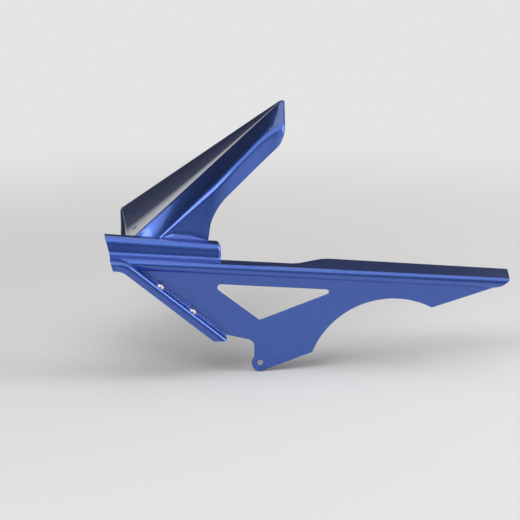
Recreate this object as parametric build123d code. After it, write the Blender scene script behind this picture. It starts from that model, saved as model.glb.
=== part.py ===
"""Rear hugger mudguard: one moulded shell and the two screws that stand on its ledge.

The origin is the centre of the lug hole, on the outer face of the chain guard's panel.
X runs rearward, Y inboard towards the wheel and Z up. Sizes are millimetres and degrees.
"""
import os
from math import acos, atan2, cos, pi, radians, sin, sqrt, tan

from build123d import *

# Moulding
WALL = 3.0
MARGIN = 25.0                 # how far cutting shapes reach past what they trim
MOUNT_HOLE_DIAMETER = 6.6

# Mudguard tongue: a crown that falls forward from its peak over the tyre
WHEEL_Y = 135.0               # middle plane of the wheel
PEAK_X = 34.7
PEAK_Z = 284.3
TONGUE_SLOPE = 38.2           # fall of the crown towards the front
TAIL_TILT = 10.4              # lean of the trailing edge
TONGUE_LENGTH = 262.0         # from the peak to the foremost section, along the crown
TAIL_LIP = 6.5                # roll at the trailing edge, behind the peak
TAIL_LIP_STEPS = 3
RIDGE_HALF = 4.0              # half width between the two creases at the peak
CREASE_FRONT_HALF = 110.0     # the same at the foremost section
SHOULDERS = (                 # distance from the peak, half width, drop below the creases
    (0.0, 58.0, 21.5),
    (15.0, 62.2, 15.6),
    (30.0, 67.5, 12.9),
    (45.0, 74.0, 13.0),
    (60.0, 80.6, 14.2),
    (75.0, 86.6, 15.1),
    (90.0, 91.0, 16.4),
    (120.0, 95.3, 20.1),
    (TONGUE_LENGTH, 113.0, 38.0),
)
SHOULDER_RADIUS = 9.0
DISH_TAIL = 0.5               # hollow of the crown between the creases
DISH_FRONT = 6.0
SKIRT_DEPTH = 80.0            # depth that the side walls are drawn to before they are trimmed
SKIRT_FLARE = 8.0
SKIRT_TAIL_X = 30.3           # lower end of the trailing edge
SKIRT_TAIL_Z = 242.9
SKIRT_SLOPE = 39.8            # lower edge of the side walls
SKIRT_FRONT_X = -58.0         # where that edge has turned straight down
SKIRT_SWEEP_RADIUS = 70.0
SKIRT_FOOT_REAR_Z = 137.0
SKIRT_FOOT_SLOPE = 26.0       # fall of the foot towards the front
FRONT_EDGE_X = -158.0         # corners of the tongue's front edge
FRONT_EDGE_BOW = 6.0
FRONT_HOLE_X = -143.0
FRONT_HOLE_HALF_SPACING = 42.0

# Chain guard: top flange, rolled bead and side panel
GUARD_SLOPE = 4.1             # fall towards the rear
GUARD_REAR_X = 290.0
GUARD_FRONT_X = -172.5        # front end, at the flange
GUARD_FRONT_RAKE = 14.6
BEAD_Z = 109.8                # centre of the bead above the lug hole
BEAD_Y = 1.8
BEAD_RADIUS = 6.5
FLANGE_REAR_Y = 52.0          # inboard edge over the sprocket
FLANGE_TIP_X = 297.0          # inboard corner of the rear tip
FLANGE_TIP_Y = 45.0
WIDEN_START_X = 43.0
WIDEN_END_X = 79.0
TIP_X = 283.0                 # lower corner of the rear tip
TIP_Z = 87.4
TIP_RISE = 5.4
SPROCKET_X = 152.8            # arc that clears the sprocket
SPROCKET_Z = -25.9
SPROCKET_RADIUS = 99.5
SPROCKET_REAR_ANGLE = 61.7
SPROCKET_FRONT_ANGLE = 158.0
LUG_RADIUS = 10.0
NECK_X = -7.2                 # rounded corner above the lug
NECK_Z = 27.0
NECK_RADIUS = 9.0
WINDOW_LEFT_X = -58.6
WINDOW_RIGHT_X = 90.6
WINDOW_TOP_DROP = 18.1        # top edge below the bead's centre
WINDOW_FOOT_X = -0.7
WINDOW_FOOT_Z = 51.2
WINDOW_FRONT_RADIUS = 4.0
WINDOW_RADIUS = 3.0

# Hose tunnel on the flange
TUNNEL_Y = 16.0               # outer face
TUNNEL_TOP_Z = 133.2          # roof above the lug hole
TUNNEL_SLOPE = 5.4
TUNNEL_RADIUS = 9.0
TUNNEL_WIDTH_FRONT = 18.0
TUNNEL_WIDTH_REAR = 24.0
NOSE_X = -44.0                # rear end
NOSE_LENGTH = 5.0
NOSE_INSET = 3.5
TUNNEL_FOOT_RADIUS = 5.0      # hollow along the flange
SKIRT_FILLET_RADIUS = 8.0     # hollow between the tongue's side wall and the roof
SKIRT_FILLET_SHARE = 0.6      # of the height of that wall above the roof, at most
SKIRT_FILLET_MIN_RADIUS = 1.0
SKIRT_FILLET_STEPS = 6
SKIRT_FILLET_FRONT_X = -104.0

# Sloped ledge with its rim, on the outer side of the panel
LEDGE_SLOPE = 39.2
LEDGE_END_X = -40.0
LEDGE_END_Z = 33.8
LEDGE_WIDTH = 19.0
LEDGE_RADIUS = 5.0
LEDGE_BEND_RADIUS = 30.0
RIM_DEPTH = 11.0
RIM_FOOT_Z = 32.2             # level at which the rim is cut off
RIB_WIDTH = 1.6               # step along the foot of the panel
RIB_HEIGHT = 2.2
RIB_START = 10.0              # behind the bend

# Ledge screws
SCREW_PLACES = (75.8, 38.8)   # ahead of the ledge's lower end
SCREW_Y = -8.7
SCREW_DIAMETER = 6.0
SCREW_HOLE_CLEARANCE = 0.6
SCREW_LENGTH = 12.0
SCREW_HEAD_DIAMETER = 10.5
SCREW_HEAD_HEIGHT = 3.3
SCREW_HEAD_RIM = 0.7
SCREW_CROWN_DIAMETER = 5.4
SCREW_CHAMFER = 0.6
SOCKET_FLATS = 4.0
SOCKET_DEPTH = 2.0


def bead_z(x):
    """Height of the bead's centre line."""
    return BEAD_Z - x * tan(radians(GUARD_SLOPE))


def flange_z(x):
    """Height of the flange's upper face."""
    return bead_z(x) + BEAD_RADIUS / cos(radians(GUARD_SLOPE))


def tunnel_z(x):
    """Height of the tunnel's roof."""
    return TUNNEL_TOP_Z - x * tan(radians(TUNNEL_SLOPE))


def ledge_z(x):
    """Height of the ledge's floor."""
    return LEDGE_END_Z + (LEDGE_END_X - x) * tan(radians(LEDGE_SLOPE))


def front_x(z):
    """Raked front end of the guard and the tunnel."""
    return GUARD_FRONT_X - (z - flange_z(GUARD_FRONT_X)) * tan(radians(GUARD_FRONT_RAKE))


def draw_start_x():
    """Where the guard, the tunnel and the ledge are drawn from, ahead of their raked front end."""
    return front_x(tunnel_z(GUARD_FRONT_X)) - MARGIN


def across(x, y, z, fall):
    """Plane square to a line that falls rearward: its own axes are Y and up."""
    angle = radians(fall)
    return Plane((x, y, z), x_dir=(0, 1, 0), z_dir=(cos(angle), 0, -sin(angle)))


def side_prism(outline, y_low, y_high):
    """Solid with an outline drawn in X and Z, between two places along Y."""
    return extrude(Plane.XZ.offset(-y_high) * make_face(outline), y_high - y_low)


def plan_prism(outline, z_low, z_high):
    """Solid with an outline drawn in X and Y, between two heights."""
    return extrude(Plane.XY.offset(z_low) * make_face(outline), z_high - z_low)


def round_corner(before, corner, after, radius):
    """Arc that rounds a corner, tangent to both of its sides."""
    point = Vector(*corner)
    back = (Vector(*before) - point).normalized()
    ahead = (Vector(*after) - point).normalized()
    half = radians(back.get_angle(ahead)) / 2
    reach = radius / tan(half)
    middle = point + (back + ahead).normalized() * (radius / sin(half) - radius)
    return ThreePointArc(point + back * reach, middle, point + ahead * reach)


def half_rail(crease, shoulder, foot):
    """One side of a tongue section, from the crease out and down to the foot."""
    bend = round_corner(crease, shoulder, foot, SHOULDER_RADIUS)
    return [Line(crease, bend @ 0), bend, Line(bend @ 1, foot)]


def tongue_face(crease_half, shoulder_half, drop, dish, sink, distance):
    """Closed wall section of the tongue at a distance from the peak."""
    lift = WALL / cos(radians(TONGUE_SLOPE + TAIL_TILT))
    edges = []
    for inset, lower in ((0.0, sink), (WALL, sink + lift)):
        edges.append(ThreePointArc((-crease_half, -lower), (0, -dish - lower), (crease_half, -lower)))
        for side in (-1, 1):
            crease = (side * crease_half, -lower)
            shoulder = (side * (shoulder_half - inset), -drop - lower)
            foot = (side * (shoulder_half + SKIRT_FLARE - inset), -drop - sink - SKIRT_DEPTH)
            edges += half_rail(crease, shoulder, foot)
    for side in (-1, 1):
        outer = side * (shoulder_half + SKIRT_FLARE)
        foot_z = -drop - sink - SKIRT_DEPTH
        edges.append(Line((outer, foot_z), (outer - side * WALL, foot_z)))
    x = PEAK_X - distance * cos(radians(TONGUE_SLOPE))
    z = PEAK_Z - distance * sin(radians(TONGUE_SLOPE))
    return across(x, WHEEL_Y, z, TAIL_TILT) * make_face(edges)


def tongue_station(distance, shoulder_half, drop, sink):
    """Tongue section with the crown that belongs to its distance from the peak."""
    share = distance / TONGUE_LENGTH
    crease_half = RIDGE_HALF + share * (CREASE_FRONT_HALF - RIDGE_HALF)
    dish = DISH_TAIL + share * (DISH_FRONT - DISH_TAIL)
    return tongue_face(crease_half, shoulder_half - sink, drop, dish, sink, distance)


def skirt_trim():
    """Side view that the tongue is trimmed to: everything above its lower edge."""
    slope = tan(radians(SKIRT_SLOPE))
    tail = (SKIRT_TAIL_X + MARGIN, SKIRT_TAIL_Z + MARGIN * slope)
    knee = (SKIRT_FRONT_X, SKIRT_TAIL_Z - (SKIRT_TAIL_X - SKIRT_FRONT_X) * slope)
    foot = (SKIRT_FRONT_X, SKIRT_FOOT_REAR_Z)
    sweep_arc = round_corner(tail, knee, foot, SKIRT_SWEEP_RADIUS)
    front_end_x = FRONT_EDGE_X - MARGIN
    front_foot = (front_end_x, foot[1] - (foot[0] - front_end_x) * tan(radians(SKIRT_FOOT_SLOPE)))
    top_z = PEAK_Z + MARGIN
    front = [foot, front_foot, (front_end_x, top_z)]
    rest = Polyline(sweep_arc @ 1, *front, (tail[0], top_z), tail, sweep_arc @ 0)
    reach = SHOULDERS[-1][1] + SKIRT_FLARE + MARGIN
    return side_prism([sweep_arc, rest], WHEEL_Y - reach, WHEEL_Y + reach)


def front_trim():
    """Space in front of the tongue's bowed front edge."""
    reach = SHOULDERS[-1][1] + SKIRT_FLARE + MARGIN
    far_x = FRONT_EDGE_X - TONGUE_LENGTH / 2
    left = (FRONT_EDGE_X, WHEEL_Y - reach)
    right = (FRONT_EDGE_X, WHEEL_Y + reach)
    bow = ThreePointArc(left, (FRONT_EDGE_X + FRONT_EDGE_BOW, WHEEL_Y), right)
    rest = Polyline(right, (far_x, right[1]), (far_x, left[1]), left)
    return plan_prism([bow, rest], 0, PEAK_Z + MARGIN)


def front_hole(side):
    """Screw hole near a front corner of the tongue, square to the crown."""
    angle = radians(TONGUE_SLOPE)
    z = PEAK_Z - (PEAK_X - FRONT_HOLE_X) * tan(angle)
    centre = (FRONT_HOLE_X, WHEEL_Y + side * FRONT_HOLE_HALF_SPACING, z)
    return Plane(centre, z_dir=(-sin(angle), 0, cos(angle))) * Cylinder(MOUNT_HOLE_DIAMETER / 2, MARGIN)


def tongue():
    """Mudguard over the tyre, with its side walls and rolled trailing edge."""
    stations = []
    tail_half, tail_drop = SHOULDERS[0][1:]
    for step in range(TAIL_LIP_STEPS):
        turn = pi / 2 * step / TAIL_LIP_STEPS
        sink = TAIL_LIP * (1 - sin(turn))
        stations.append(tongue_station(-TAIL_LIP * cos(turn), tail_half, tail_drop, sink))
    for distance, half, drop in SHOULDERS:
        stations.append(tongue_station(distance, half, drop, 0))
    shell = loft(stations, ruled=True) & skirt_trim()
    shell -= front_trim()
    for side in (-1, 1):
        shell -= front_hole(side)
    return shell


def guard_face():
    """Wall section of the chain guard: flange, rolled bead and panel."""
    inner = BEAD_RADIUS - WALL
    depth = bead_z(GUARD_FRONT_X) + LUG_RADIUS + MARGIN
    outer_start = (BEAD_Y, BEAD_RADIUS)
    outer_end = (0, -sqrt(BEAD_RADIUS**2 - BEAD_Y**2))
    inner_start = (WALL, -sqrt(inner**2 - (WALL - BEAD_Y) ** 2))
    inner_end = (BEAD_Y, inner)
    outer_roll = ThreePointArc(outer_start, (BEAD_Y - BEAD_RADIUS, 0), outer_end)
    inner_roll = ThreePointArc(inner_start, (BEAD_Y - inner, 0), inner_end)
    panel = Polyline(outer_end, (0, -depth), (WALL, -depth), inner_start)
    flange = Polyline(inner_end, (FLANGE_REAR_Y, inner), (FLANGE_REAR_Y, BEAD_RADIUS), outer_start)
    start = draw_start_x()
    return across(start, 0, bead_z(start), GUARD_SLOPE) * make_face([outer_roll, panel, inner_roll, flange])


def lug_tangent(point):
    """Angle at which a line from a point behind the lug touches its round end from below."""
    return atan2(point[1], point[0]) - acos(LUG_RADIUS / sqrt(point[0] ** 2 + point[1] ** 2))


def on_circle(x, z, radius, angle):
    """Point of a circle in the side view."""
    return (x + radius * cos(angle), z + radius * sin(angle))


def ledge_corner_x():
    """Place where the lines of the flange and the ledge cross."""
    fall = tan(radians(LEDGE_SLOPE)) - tan(radians(GUARD_SLOPE))
    return (ledge_z(0) - flange_z(0)) / fall


def panel_trim():
    """Side view of the chain guard."""
    rear_angle = radians(SPROCKET_REAR_ANGLE)
    front_angle = radians(SPROCKET_FRONT_ANGLE)
    angles = (rear_angle, (rear_angle + front_angle) / 2, front_angle)
    sprocket = ThreePointArc(*[on_circle(SPROCKET_X, SPROCKET_Z, SPROCKET_RADIUS, a) for a in angles])
    seat = WALL / 2 / cos(radians(LEDGE_SLOPE))
    ledge_end = (LEDGE_END_X, LEDGE_END_Z + RIB_HEIGHT / cos(radians(LEDGE_SLOPE)) - seat)
    floor_end = (LEDGE_END_X - WALL, ledge_z(LEDGE_END_X - WALL) - seat)
    sprocket_end = sprocket @ 1
    low = lug_tangent((sprocket_end.X, sprocket_end.Y))
    high = acos(NECK_X / LUG_RADIUS) - 2 * pi
    lug = ThreePointArc(*[on_circle(0, 0, LUG_RADIUS, a) for a in (low, (low + high) / 2, high)])
    neck = round_corner((NECK_X, 0), (NECK_X, NECK_Z), ledge_end, NECK_RADIUS)
    bend_x = ledge_corner_x()
    bend_z = ledge_z(bend_x) - seat
    far_x = draw_start_x()
    top_z = flange_z(far_x) + MARGIN
    foot = [neck @ 1, ledge_end, floor_end, (bend_x, bend_z)]
    front = [*foot, (far_x, flange_z(far_x) - WALL), (far_x, top_z)]
    rear = [(FLANGE_TIP_X, top_z), (FLANGE_TIP_X, TIP_Z + TIP_RISE), (GUARD_REAR_X, TIP_Z + TIP_RISE)]
    rim = Polyline(*front, *rear, (TIP_X, TIP_Z), sprocket @ 0)
    outline = [sprocket, Line(sprocket @ 1, lug @ 0), lug, Line(lug @ 1, neck @ 0), neck, rim]
    return side_prism(outline, -LEDGE_WIDTH, FLANGE_REAR_Y + MARGIN)


def flange_trim():
    """Space inboard of the flange's edge, which widens over the sprocket."""
    narrow = TUNNEL_Y + WALL
    wide = FLANGE_REAR_Y + MARGIN
    start = draw_start_x() - MARGIN
    end = FLANGE_TIP_X + MARGIN
    bead_side = BEAD_Y - BEAD_RADIUS
    edge = [(start, narrow), (WIDEN_START_X, narrow), (WIDEN_END_X, FLANGE_REAR_Y)]
    edge += [(FLANGE_TIP_X, FLANGE_TIP_Y), (GUARD_REAR_X, bead_side), (end, bead_side)]
    edge += [(end, wide), (start, wide)]
    return plan_prism(Polyline(*edge, close=True), 0, flange_z(start) + MARGIN)


def window():
    """Three-cornered opening in the panel."""
    top_left = (WINDOW_LEFT_X, bead_z(WINDOW_LEFT_X) - WINDOW_TOP_DROP)
    top_right = (WINDOW_RIGHT_X, bead_z(WINDOW_RIGHT_X) - WINDOW_TOP_DROP)
    foot = (WINDOW_FOOT_X, WINDOW_FOOT_Z)
    corners = [top_left, top_right, foot]
    radii = [WINDOW_FRONT_RADIUS, WINDOW_RADIUS, WINDOW_RADIUS]
    arcs = []
    for i in range(3):
        arcs.append(round_corner(corners[i - 1], corners[i], corners[(i + 1) % 3], radii[i]))
    sides = [Line(arcs[i] @ 1, arcs[(i + 1) % 3] @ 0) for i in range(3)]
    return side_prism(arcs + sides, -MARGIN, MARGIN)


def chain_guard():
    """Flange, bead and panel, trimmed to their outlines, with the window and the lug hole."""
    start = draw_start_x()
    length = (FLANGE_TIP_X + MARGIN - start) / cos(radians(GUARD_SLOPE))
    guard = extrude(guard_face(), length) & panel_trim()
    guard -= flange_trim()
    guard -= window()
    guard -= Plane.XZ * Cylinder(MOUNT_HOLE_DIAMETER / 2, MARGIN)
    return guard


def tunnel_inner_y(x):
    """Inboard face of the tunnel, which widens towards its nose."""
    share = (x - GUARD_FRONT_X) / (NOSE_X - GUARD_FRONT_X)
    return TUNNEL_Y + TUNNEL_WIDTH_FRONT + share * (TUNNEL_WIDTH_REAR - TUNNEL_WIDTH_FRONT)


def tunnel_face(x, inset, wall):
    """Section of the tunnel's outside, or with a wall taken off, of its inside."""
    outer = TUNNEL_Y + inset + wall
    inner = tunnel_inner_y(x) - wall
    top = tunnel_z(x) - inset - wall
    foot = RIM_FOOT_Z if wall else flange_z(x) - WALL
    roll = round_corner((outer, foot), (outer, top), (inner, top), TUNNEL_RADIUS - wall)
    rest = Polyline(roll @ 1, (inner, top), (inner, foot), (outer, foot), roll @ 0)
    return across(x, 0, 0, 0) * make_face([roll, rest])


def foot_fillet_face(x, inset):
    """Section of the hollow corner between the flange and the tunnel's outer face."""
    outer = TUNNEL_Y + inset
    low = flange_z(x)
    before = (outer - TUNNEL_FOOT_RADIUS, low)
    after = (outer, low + TUNNEL_FOOT_RADIUS)
    hollow = round_corner(before, (outer, low), after, TUNNEL_FOOT_RADIUS)
    buried = [(outer + WALL / 2, after[1]), (outer + WALL / 2, low - WALL / 2), (before[0], low - WALL / 2)]
    return across(x, 0, 0, 0) * make_face([hollow, Polyline(hollow @ 1, *buried, hollow @ 0)])


def along_tunnel(section, *wall):
    """Solid with a section that runs along the tunnel and draws in at its nose."""
    faces = [section(draw_start_x(), 0, *wall), section(NOSE_X - NOSE_LENGTH, 0, *wall)]
    faces.append(section(NOSE_X, NOSE_INSET, *wall))
    return loft(faces, ruled=True)


def tunnel():
    """Hose tunnel as a block, with the hollow corner along its foot."""
    return along_tunnel(tunnel_face, 0) + along_tunnel(foot_fillet_face)


def tunnel_space():
    """Space inside the tunnel, open at both ends and below."""
    return along_tunnel(tunnel_face, WALL) + extrude(tunnel_face(NOSE_X, NOSE_INSET, WALL), MARGIN)


def shoulder_at(distance):
    """Half width and drop of the tongue's shoulder at a distance from the peak."""
    for near, far in zip(SHOULDERS, SHOULDERS[1:]):
        if distance <= far[0]:
            break
    share = (distance - near[0]) / (far[0] - near[0])
    return [low + share * (high - low) for low, high in zip(near[1:], far[1:])]


def skirt_wall(x, z):
    """Place along Y of the tongue's outer side wall, and the height of its shoulder there."""
    slope, tilt = radians(TONGUE_SLOPE), radians(TAIL_TILT)
    distance = ((PEAK_X - x) * cos(tilt) + (z - PEAK_Z) * sin(tilt)) / cos(slope + tilt)
    up = (z - PEAK_Z + distance * sin(slope)) / cos(tilt)
    half, drop = shoulder_at(distance)
    y = WHEEL_Y - half - SKIRT_FLARE * (-up - drop) / SKIRT_DEPTH
    return y, z - (up + drop) * cos(tilt)


def skirt_fillet_face(x):
    """Section of the hollow corner between the tongue's outer side wall and the tunnel's roof."""
    low = tunnel_z(x)
    _, shoulder_z = skirt_wall(x, low)
    room = SKIRT_FILLET_SHARE * (shoulder_z - low)
    radius = max(SKIRT_FILLET_MIN_RADIUS, min(SKIRT_FILLET_RADIUS, room))
    y, _ = skirt_wall(x, low + radius)
    hollow = round_corner((y - radius, low), (y, low), (y, low + radius), radius)
    buried = [(y + WALL / 2, low + radius), (y + WALL / 2, low - WALL / 2), (y - radius, low - WALL / 2)]
    return across(x, 0, 0, 0) * make_face([hollow, Polyline(hollow @ 1, *buried, hollow @ 0)])


def skirt_fillet():
    """Hollow corner that lets the tongue's outer side wall flow onto the tunnel's roof."""
    step = (SKIRT_FILLET_FRONT_X - SKIRT_FRONT_X) / SKIRT_FILLET_STEPS
    faces = [skirt_fillet_face(SKIRT_FRONT_X + i * step) for i in range(SKIRT_FILLET_STEPS + 1)]
    return loft(faces, ruled=True)


def ledge():
    """Floor and rim that run along the flange's front and then down the slope."""
    start_x = draw_start_x()
    bend_x = ledge_corner_x()
    end_x = LEDGE_END_X + MARGIN
    points = [(start_x, 0, flange_z(start_x)), (bend_x, 0, ledge_z(bend_x)), (end_x, 0, ledge_z(end_x))]
    path = FilletPolyline(*points, radius=LEDGE_BEND_RADIUS)
    inner = LEDGE_RADIUS - WALL
    outer_foot = (-LEDGE_WIDTH, -RIM_DEPTH)
    inner_foot = (WALL - LEDGE_WIDTH, -RIM_DEPTH)
    outer_roll = round_corner((0, 0), (-LEDGE_WIDTH, 0), outer_foot, LEDGE_RADIUS)
    inner_roll = round_corner((0, -WALL), (WALL - LEDGE_WIDTH, -WALL), inner_foot, inner)
    rim = Polyline(outer_roll @ 1, outer_foot, inner_foot, inner_roll @ 1)
    floor = Polyline(inner_roll @ 0, (WALL, -WALL), (WALL, 0), outer_roll @ 0)
    section = make_face([outer_roll, rim, inner_roll, floor])
    strip = sweep(across(start_x, 0, flange_z(start_x), GUARD_SLOPE) * section, path)
    end = [(start_x - MARGIN, RIM_FOOT_Z), (LEDGE_END_X, RIM_FOOT_Z)]
    top_z = flange_z(start_x) + MARGIN
    keep = Polyline(*end, (LEDGE_END_X, top_z), (start_x - MARGIN, top_z), close=True)
    strip &= side_prism(keep, -LEDGE_WIDTH - MARGIN, MARGIN)
    for ahead in SCREW_PLACES:
        strip -= screw_place(ahead) * Cylinder((SCREW_DIAMETER + SCREW_HOLE_CLEARANCE) / 2, MARGIN)
    return strip


def ledge_rib():
    """Step along the foot of the panel, above the ledge's floor."""
    start_x = ledge_corner_x() + RIB_START
    rise = RIB_HEIGHT / cos(radians(LEDGE_SLOPE))
    sink = WALL / 2
    low = [(start_x, ledge_z(start_x) - sink), (LEDGE_END_X, LEDGE_END_Z - sink)]
    high = [(LEDGE_END_X, LEDGE_END_Z + rise), (start_x, ledge_z(start_x) + rise)]
    return side_prism(Polyline(*low, *high, close=True), -RIB_WIDTH, sink)


def screw_place(ahead):
    """Frame on the ledge's floor whose Z is the axis of a screw."""
    angle = radians(LEDGE_SLOPE)
    x = LEDGE_END_X - ahead
    return Plane((x, SCREW_Y, ledge_z(x)), z_dir=(sin(angle), 0, cos(angle)))


def front_end_trim():
    """Space in front of the raked front end of the guard and the tunnel."""
    low_z = RIM_FOOT_Z
    far_x = draw_start_x() - MARGIN
    high_z = tunnel_z(far_x) + MARGIN
    front = [(front_x(low_z), low_z), (front_x(high_z), high_z)]
    outline = Polyline(*front, (far_x, high_z), (far_x, low_z), close=True)
    return side_prism(outline, -LEDGE_WIDTH - MARGIN, FLANGE_REAR_Y + MARGIN)


def hugger_shell():
    """Whole moulding."""
    guard = chain_guard() + ledge() + ledge_rib() + tunnel()
    guard -= front_end_trim()
    return tongue() + guard + skirt_fillet() - tunnel_space()


def ledge_screw():
    """Button-head screw with its head's seat at the origin."""
    crown = SCREW_CROWN_DIAMETER / 2
    head = SCREW_HEAD_DIAMETER / 2
    shank = SCREW_DIAMETER / 2
    bulge = SCREW_HEAD_RIM / 2
    middle = ((head + crown) / 2 + bulge, (SCREW_HEAD_HEIGHT + SCREW_HEAD_RIM) / 2 + bulge)
    dome = ThreePointArc((head, SCREW_HEAD_RIM), middle, (crown, SCREW_HEAD_HEIGHT))
    rest = Polyline(
        (crown, SCREW_HEAD_HEIGHT),
        (0, SCREW_HEAD_HEIGHT),
        (0, -SCREW_LENGTH),
        (shank - SCREW_CHAMFER, -SCREW_LENGTH),
        (shank, SCREW_CHAMFER - SCREW_LENGTH),
        (shank, 0),
        (head, 0),
        (head, SCREW_HEAD_RIM),
    )
    screw = revolve(Plane.XZ * make_face([dome, rest]), Axis.Z)
    socket = RegularPolygon(SOCKET_FLATS / 2, 6, major_radius=False)
    return screw - extrude(Plane.XY.offset(SCREW_HEAD_HEIGHT) * socket, -SOCKET_DEPTH)


os.makedirs("parts", exist_ok=True)
shell = hugger_shell()
screws = Compound([screw_place(ahead) * ledge_screw() for ahead in SCREW_PLACES])
export_step(shell, "parts/hugger_shell.step")
export_step(screws, "parts/ledge_screws.step")
print("hugger_shell:", len(shell.solids()), "solid,", round(shell.volume), "mm3")
print("box", shell.bounding_box().size)
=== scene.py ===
# %% [markdown]
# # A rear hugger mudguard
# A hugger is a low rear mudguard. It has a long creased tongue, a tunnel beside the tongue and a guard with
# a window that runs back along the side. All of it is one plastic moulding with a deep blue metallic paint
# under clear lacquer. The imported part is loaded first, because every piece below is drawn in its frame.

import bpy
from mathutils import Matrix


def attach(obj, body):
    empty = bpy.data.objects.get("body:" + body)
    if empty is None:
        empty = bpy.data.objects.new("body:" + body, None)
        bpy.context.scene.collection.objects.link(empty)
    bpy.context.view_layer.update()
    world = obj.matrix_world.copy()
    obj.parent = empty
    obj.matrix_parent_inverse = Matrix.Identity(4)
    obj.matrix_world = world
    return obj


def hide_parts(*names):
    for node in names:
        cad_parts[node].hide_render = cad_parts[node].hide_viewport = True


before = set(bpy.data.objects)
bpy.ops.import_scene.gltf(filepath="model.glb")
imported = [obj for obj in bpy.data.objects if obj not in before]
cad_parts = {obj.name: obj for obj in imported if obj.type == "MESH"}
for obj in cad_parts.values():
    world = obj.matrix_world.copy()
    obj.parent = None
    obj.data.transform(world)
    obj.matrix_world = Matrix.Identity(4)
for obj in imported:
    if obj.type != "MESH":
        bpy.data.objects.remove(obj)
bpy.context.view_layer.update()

# %% [markdown]
# ## Helpers for thin painted walls
# The moulding is a curved sheet of even thickness. A sheet can be sculpted, or drawn with subdivision
# surfaces, but here each surface follows a rule: it is a section that changes slowly along a line. So each
# sheet is a grid of points worked out in millimetres. Solidify gives a plain sheet its wall and Bevel
# rounds its raw edges. Where a sheet bends tightly, Solidify folds its inner side over, so there the wall
# is closed from two grids, with rings of points round the rim. The small rounded edges catch the light, and
# that makes a moulding look real.

# %% Grid sheets
from math import acos, asin, atan2, cos, pi, radians, sin, sqrt, tan

import bmesh
import bpy
import numpy as np
from mathutils import Vector
from mathutils.geometry import delaunay_2d_cdt

MM = 0.001


def mesh_object(name, points, edges, faces):
    """Object in the scene from points in millimetres."""
    mesh = bpy.data.meshes.new(name)
    mesh.from_pydata((np.array(points) * MM).tolist(), edges, faces)
    piece = bpy.data.objects.new(name, mesh)
    bpy.context.scene.collection.objects.link(piece)
    return piece


def made_object(name, mesh):
    """Object in the scene from an edited mesh, which is used up."""
    piece = bpy.data.objects.new(name, bpy.data.meshes.new(name))
    mesh.to_mesh(piece.data)
    mesh.free()
    bpy.context.scene.collection.objects.link(piece)
    return piece


def grid_faces(rows, columns):
    """Numbers of a grid's points, and of the points of each of its faces."""
    index = np.arange(rows * columns).reshape(rows, columns)
    corners = (index[:-1, :-1], index[:-1, 1:], index[1:, 1:], index[1:, :-1])
    return index, np.stack([c.ravel() for c in corners], axis=1)


def sheet(name, points):
    """Object from a grid of points: rows, columns, (x, y, z)."""
    faces = grid_faces(*points.shape[:2])[1]
    return mesh_object(name, points.reshape(-1, 3), [], faces.tolist())


def baked(piece):
    """Plain mesh with the piece's modifiers applied."""
    graph = bpy.context.evaluated_depsgraph_get()
    mesh = bpy.data.meshes.new_from_object(piece.evaluated_get(graph), depsgraph=graph)
    piece.modifiers.clear()
    old = piece.data
    piece.data = mesh
    bpy.data.meshes.remove(old)
    return piece


print("a grid of 3 by 4 points has", len(grid_faces(3, 4)[1]), "faces")

# %% Walls closed from two grids
WALL = 3.0
EDGE_ROUND = 0.7
RIM_STEPS = 6
RIM_ROOM = 0.5


def rim_arc(grid, other, at, behind):
    """Rings that round the rim of one side of a wall, from its surface to its edge."""
    edge = grid[at]
    along = grid[behind] - edge
    room = np.linalg.norm(along, axis=1, keepdims=True)
    across = other[at] - edge
    across /= np.linalg.norm(across, axis=1, keepdims=True)
    radius = np.minimum(EDGE_ROUND, RIM_ROOM * room)
    turns = np.linspace(0, pi / 2, RIM_STEPS)
    return [edge + radius * ((1 - sin(a)) * along / room + (1 - cos(a)) * across) for a in turns]


def closed_wall(name, outer, inner):
    """Closed wall with rounded rims from two grids of one size. Its inner side is marked in an attribute."""
    rows, columns = outer.shape[:2]
    index, faces = grid_faces(rows, columns)
    rim = np.concatenate((index[0, :-1], index[:-1, -1], index[-1, :0:-1], index[:0:-1, 0]))
    at = np.divmod(rim, columns)
    behind = (np.clip(at[0], 1, rows - 2), np.clip(at[1], 1, columns - 2))
    front_rings = rim_arc(outer, inner, at, behind)
    back_rings = rim_arc(inner, outer, at, behind)[::-1]
    outer[at], inner[at] = front_rings[0], back_rings[-1]
    points = [outer.reshape(-1, 3), inner.reshape(-1, 3), *front_rings[1:], *back_rings[:-1]]
    first = 2 * index.size + np.arange(len(rim))
    loops = [rim, *(first + k * len(rim) for k in range(2 * RIM_STEPS - 2)), rim + index.size]
    edges = [np.stack((a, np.roll(a, -1), np.roll(b, -1), b), axis=1) for a, b in zip(loops, loops[1:])]
    front = faces[:, (0, 3, 2, 1)]
    faces = np.concatenate((front, front[:, ::-1] + index.size, *edges))
    piece = mesh_object(name, np.concatenate(points), [], faces.tolist())
    inside = piece.data.attributes.new("inside", "FLOAT", "FACE")
    counts = (len(front), len(front), len(faces) - 2 * len(front))
    inside.data.foreach_set("value", np.repeat((0.0, 1.0, 0.0), counts))
    return piece


print("a rim has", 2 * RIM_STEPS, "rings")

# %% Walls, cuts and rims
BEVEL_STEPS = 3
BEVEL_ANGLE = radians(50)
MERGE_DISTANCE = 0.01


def flip_to(piece, direction):
    """Turns a sheet over if most of its area faces away from a direction."""
    facing = sum(p.normal.dot(Vector(direction)) * p.area for p in piece.data.polygons)
    if facing < 0:
        piece.data.flip_normals()
    return piece


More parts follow.
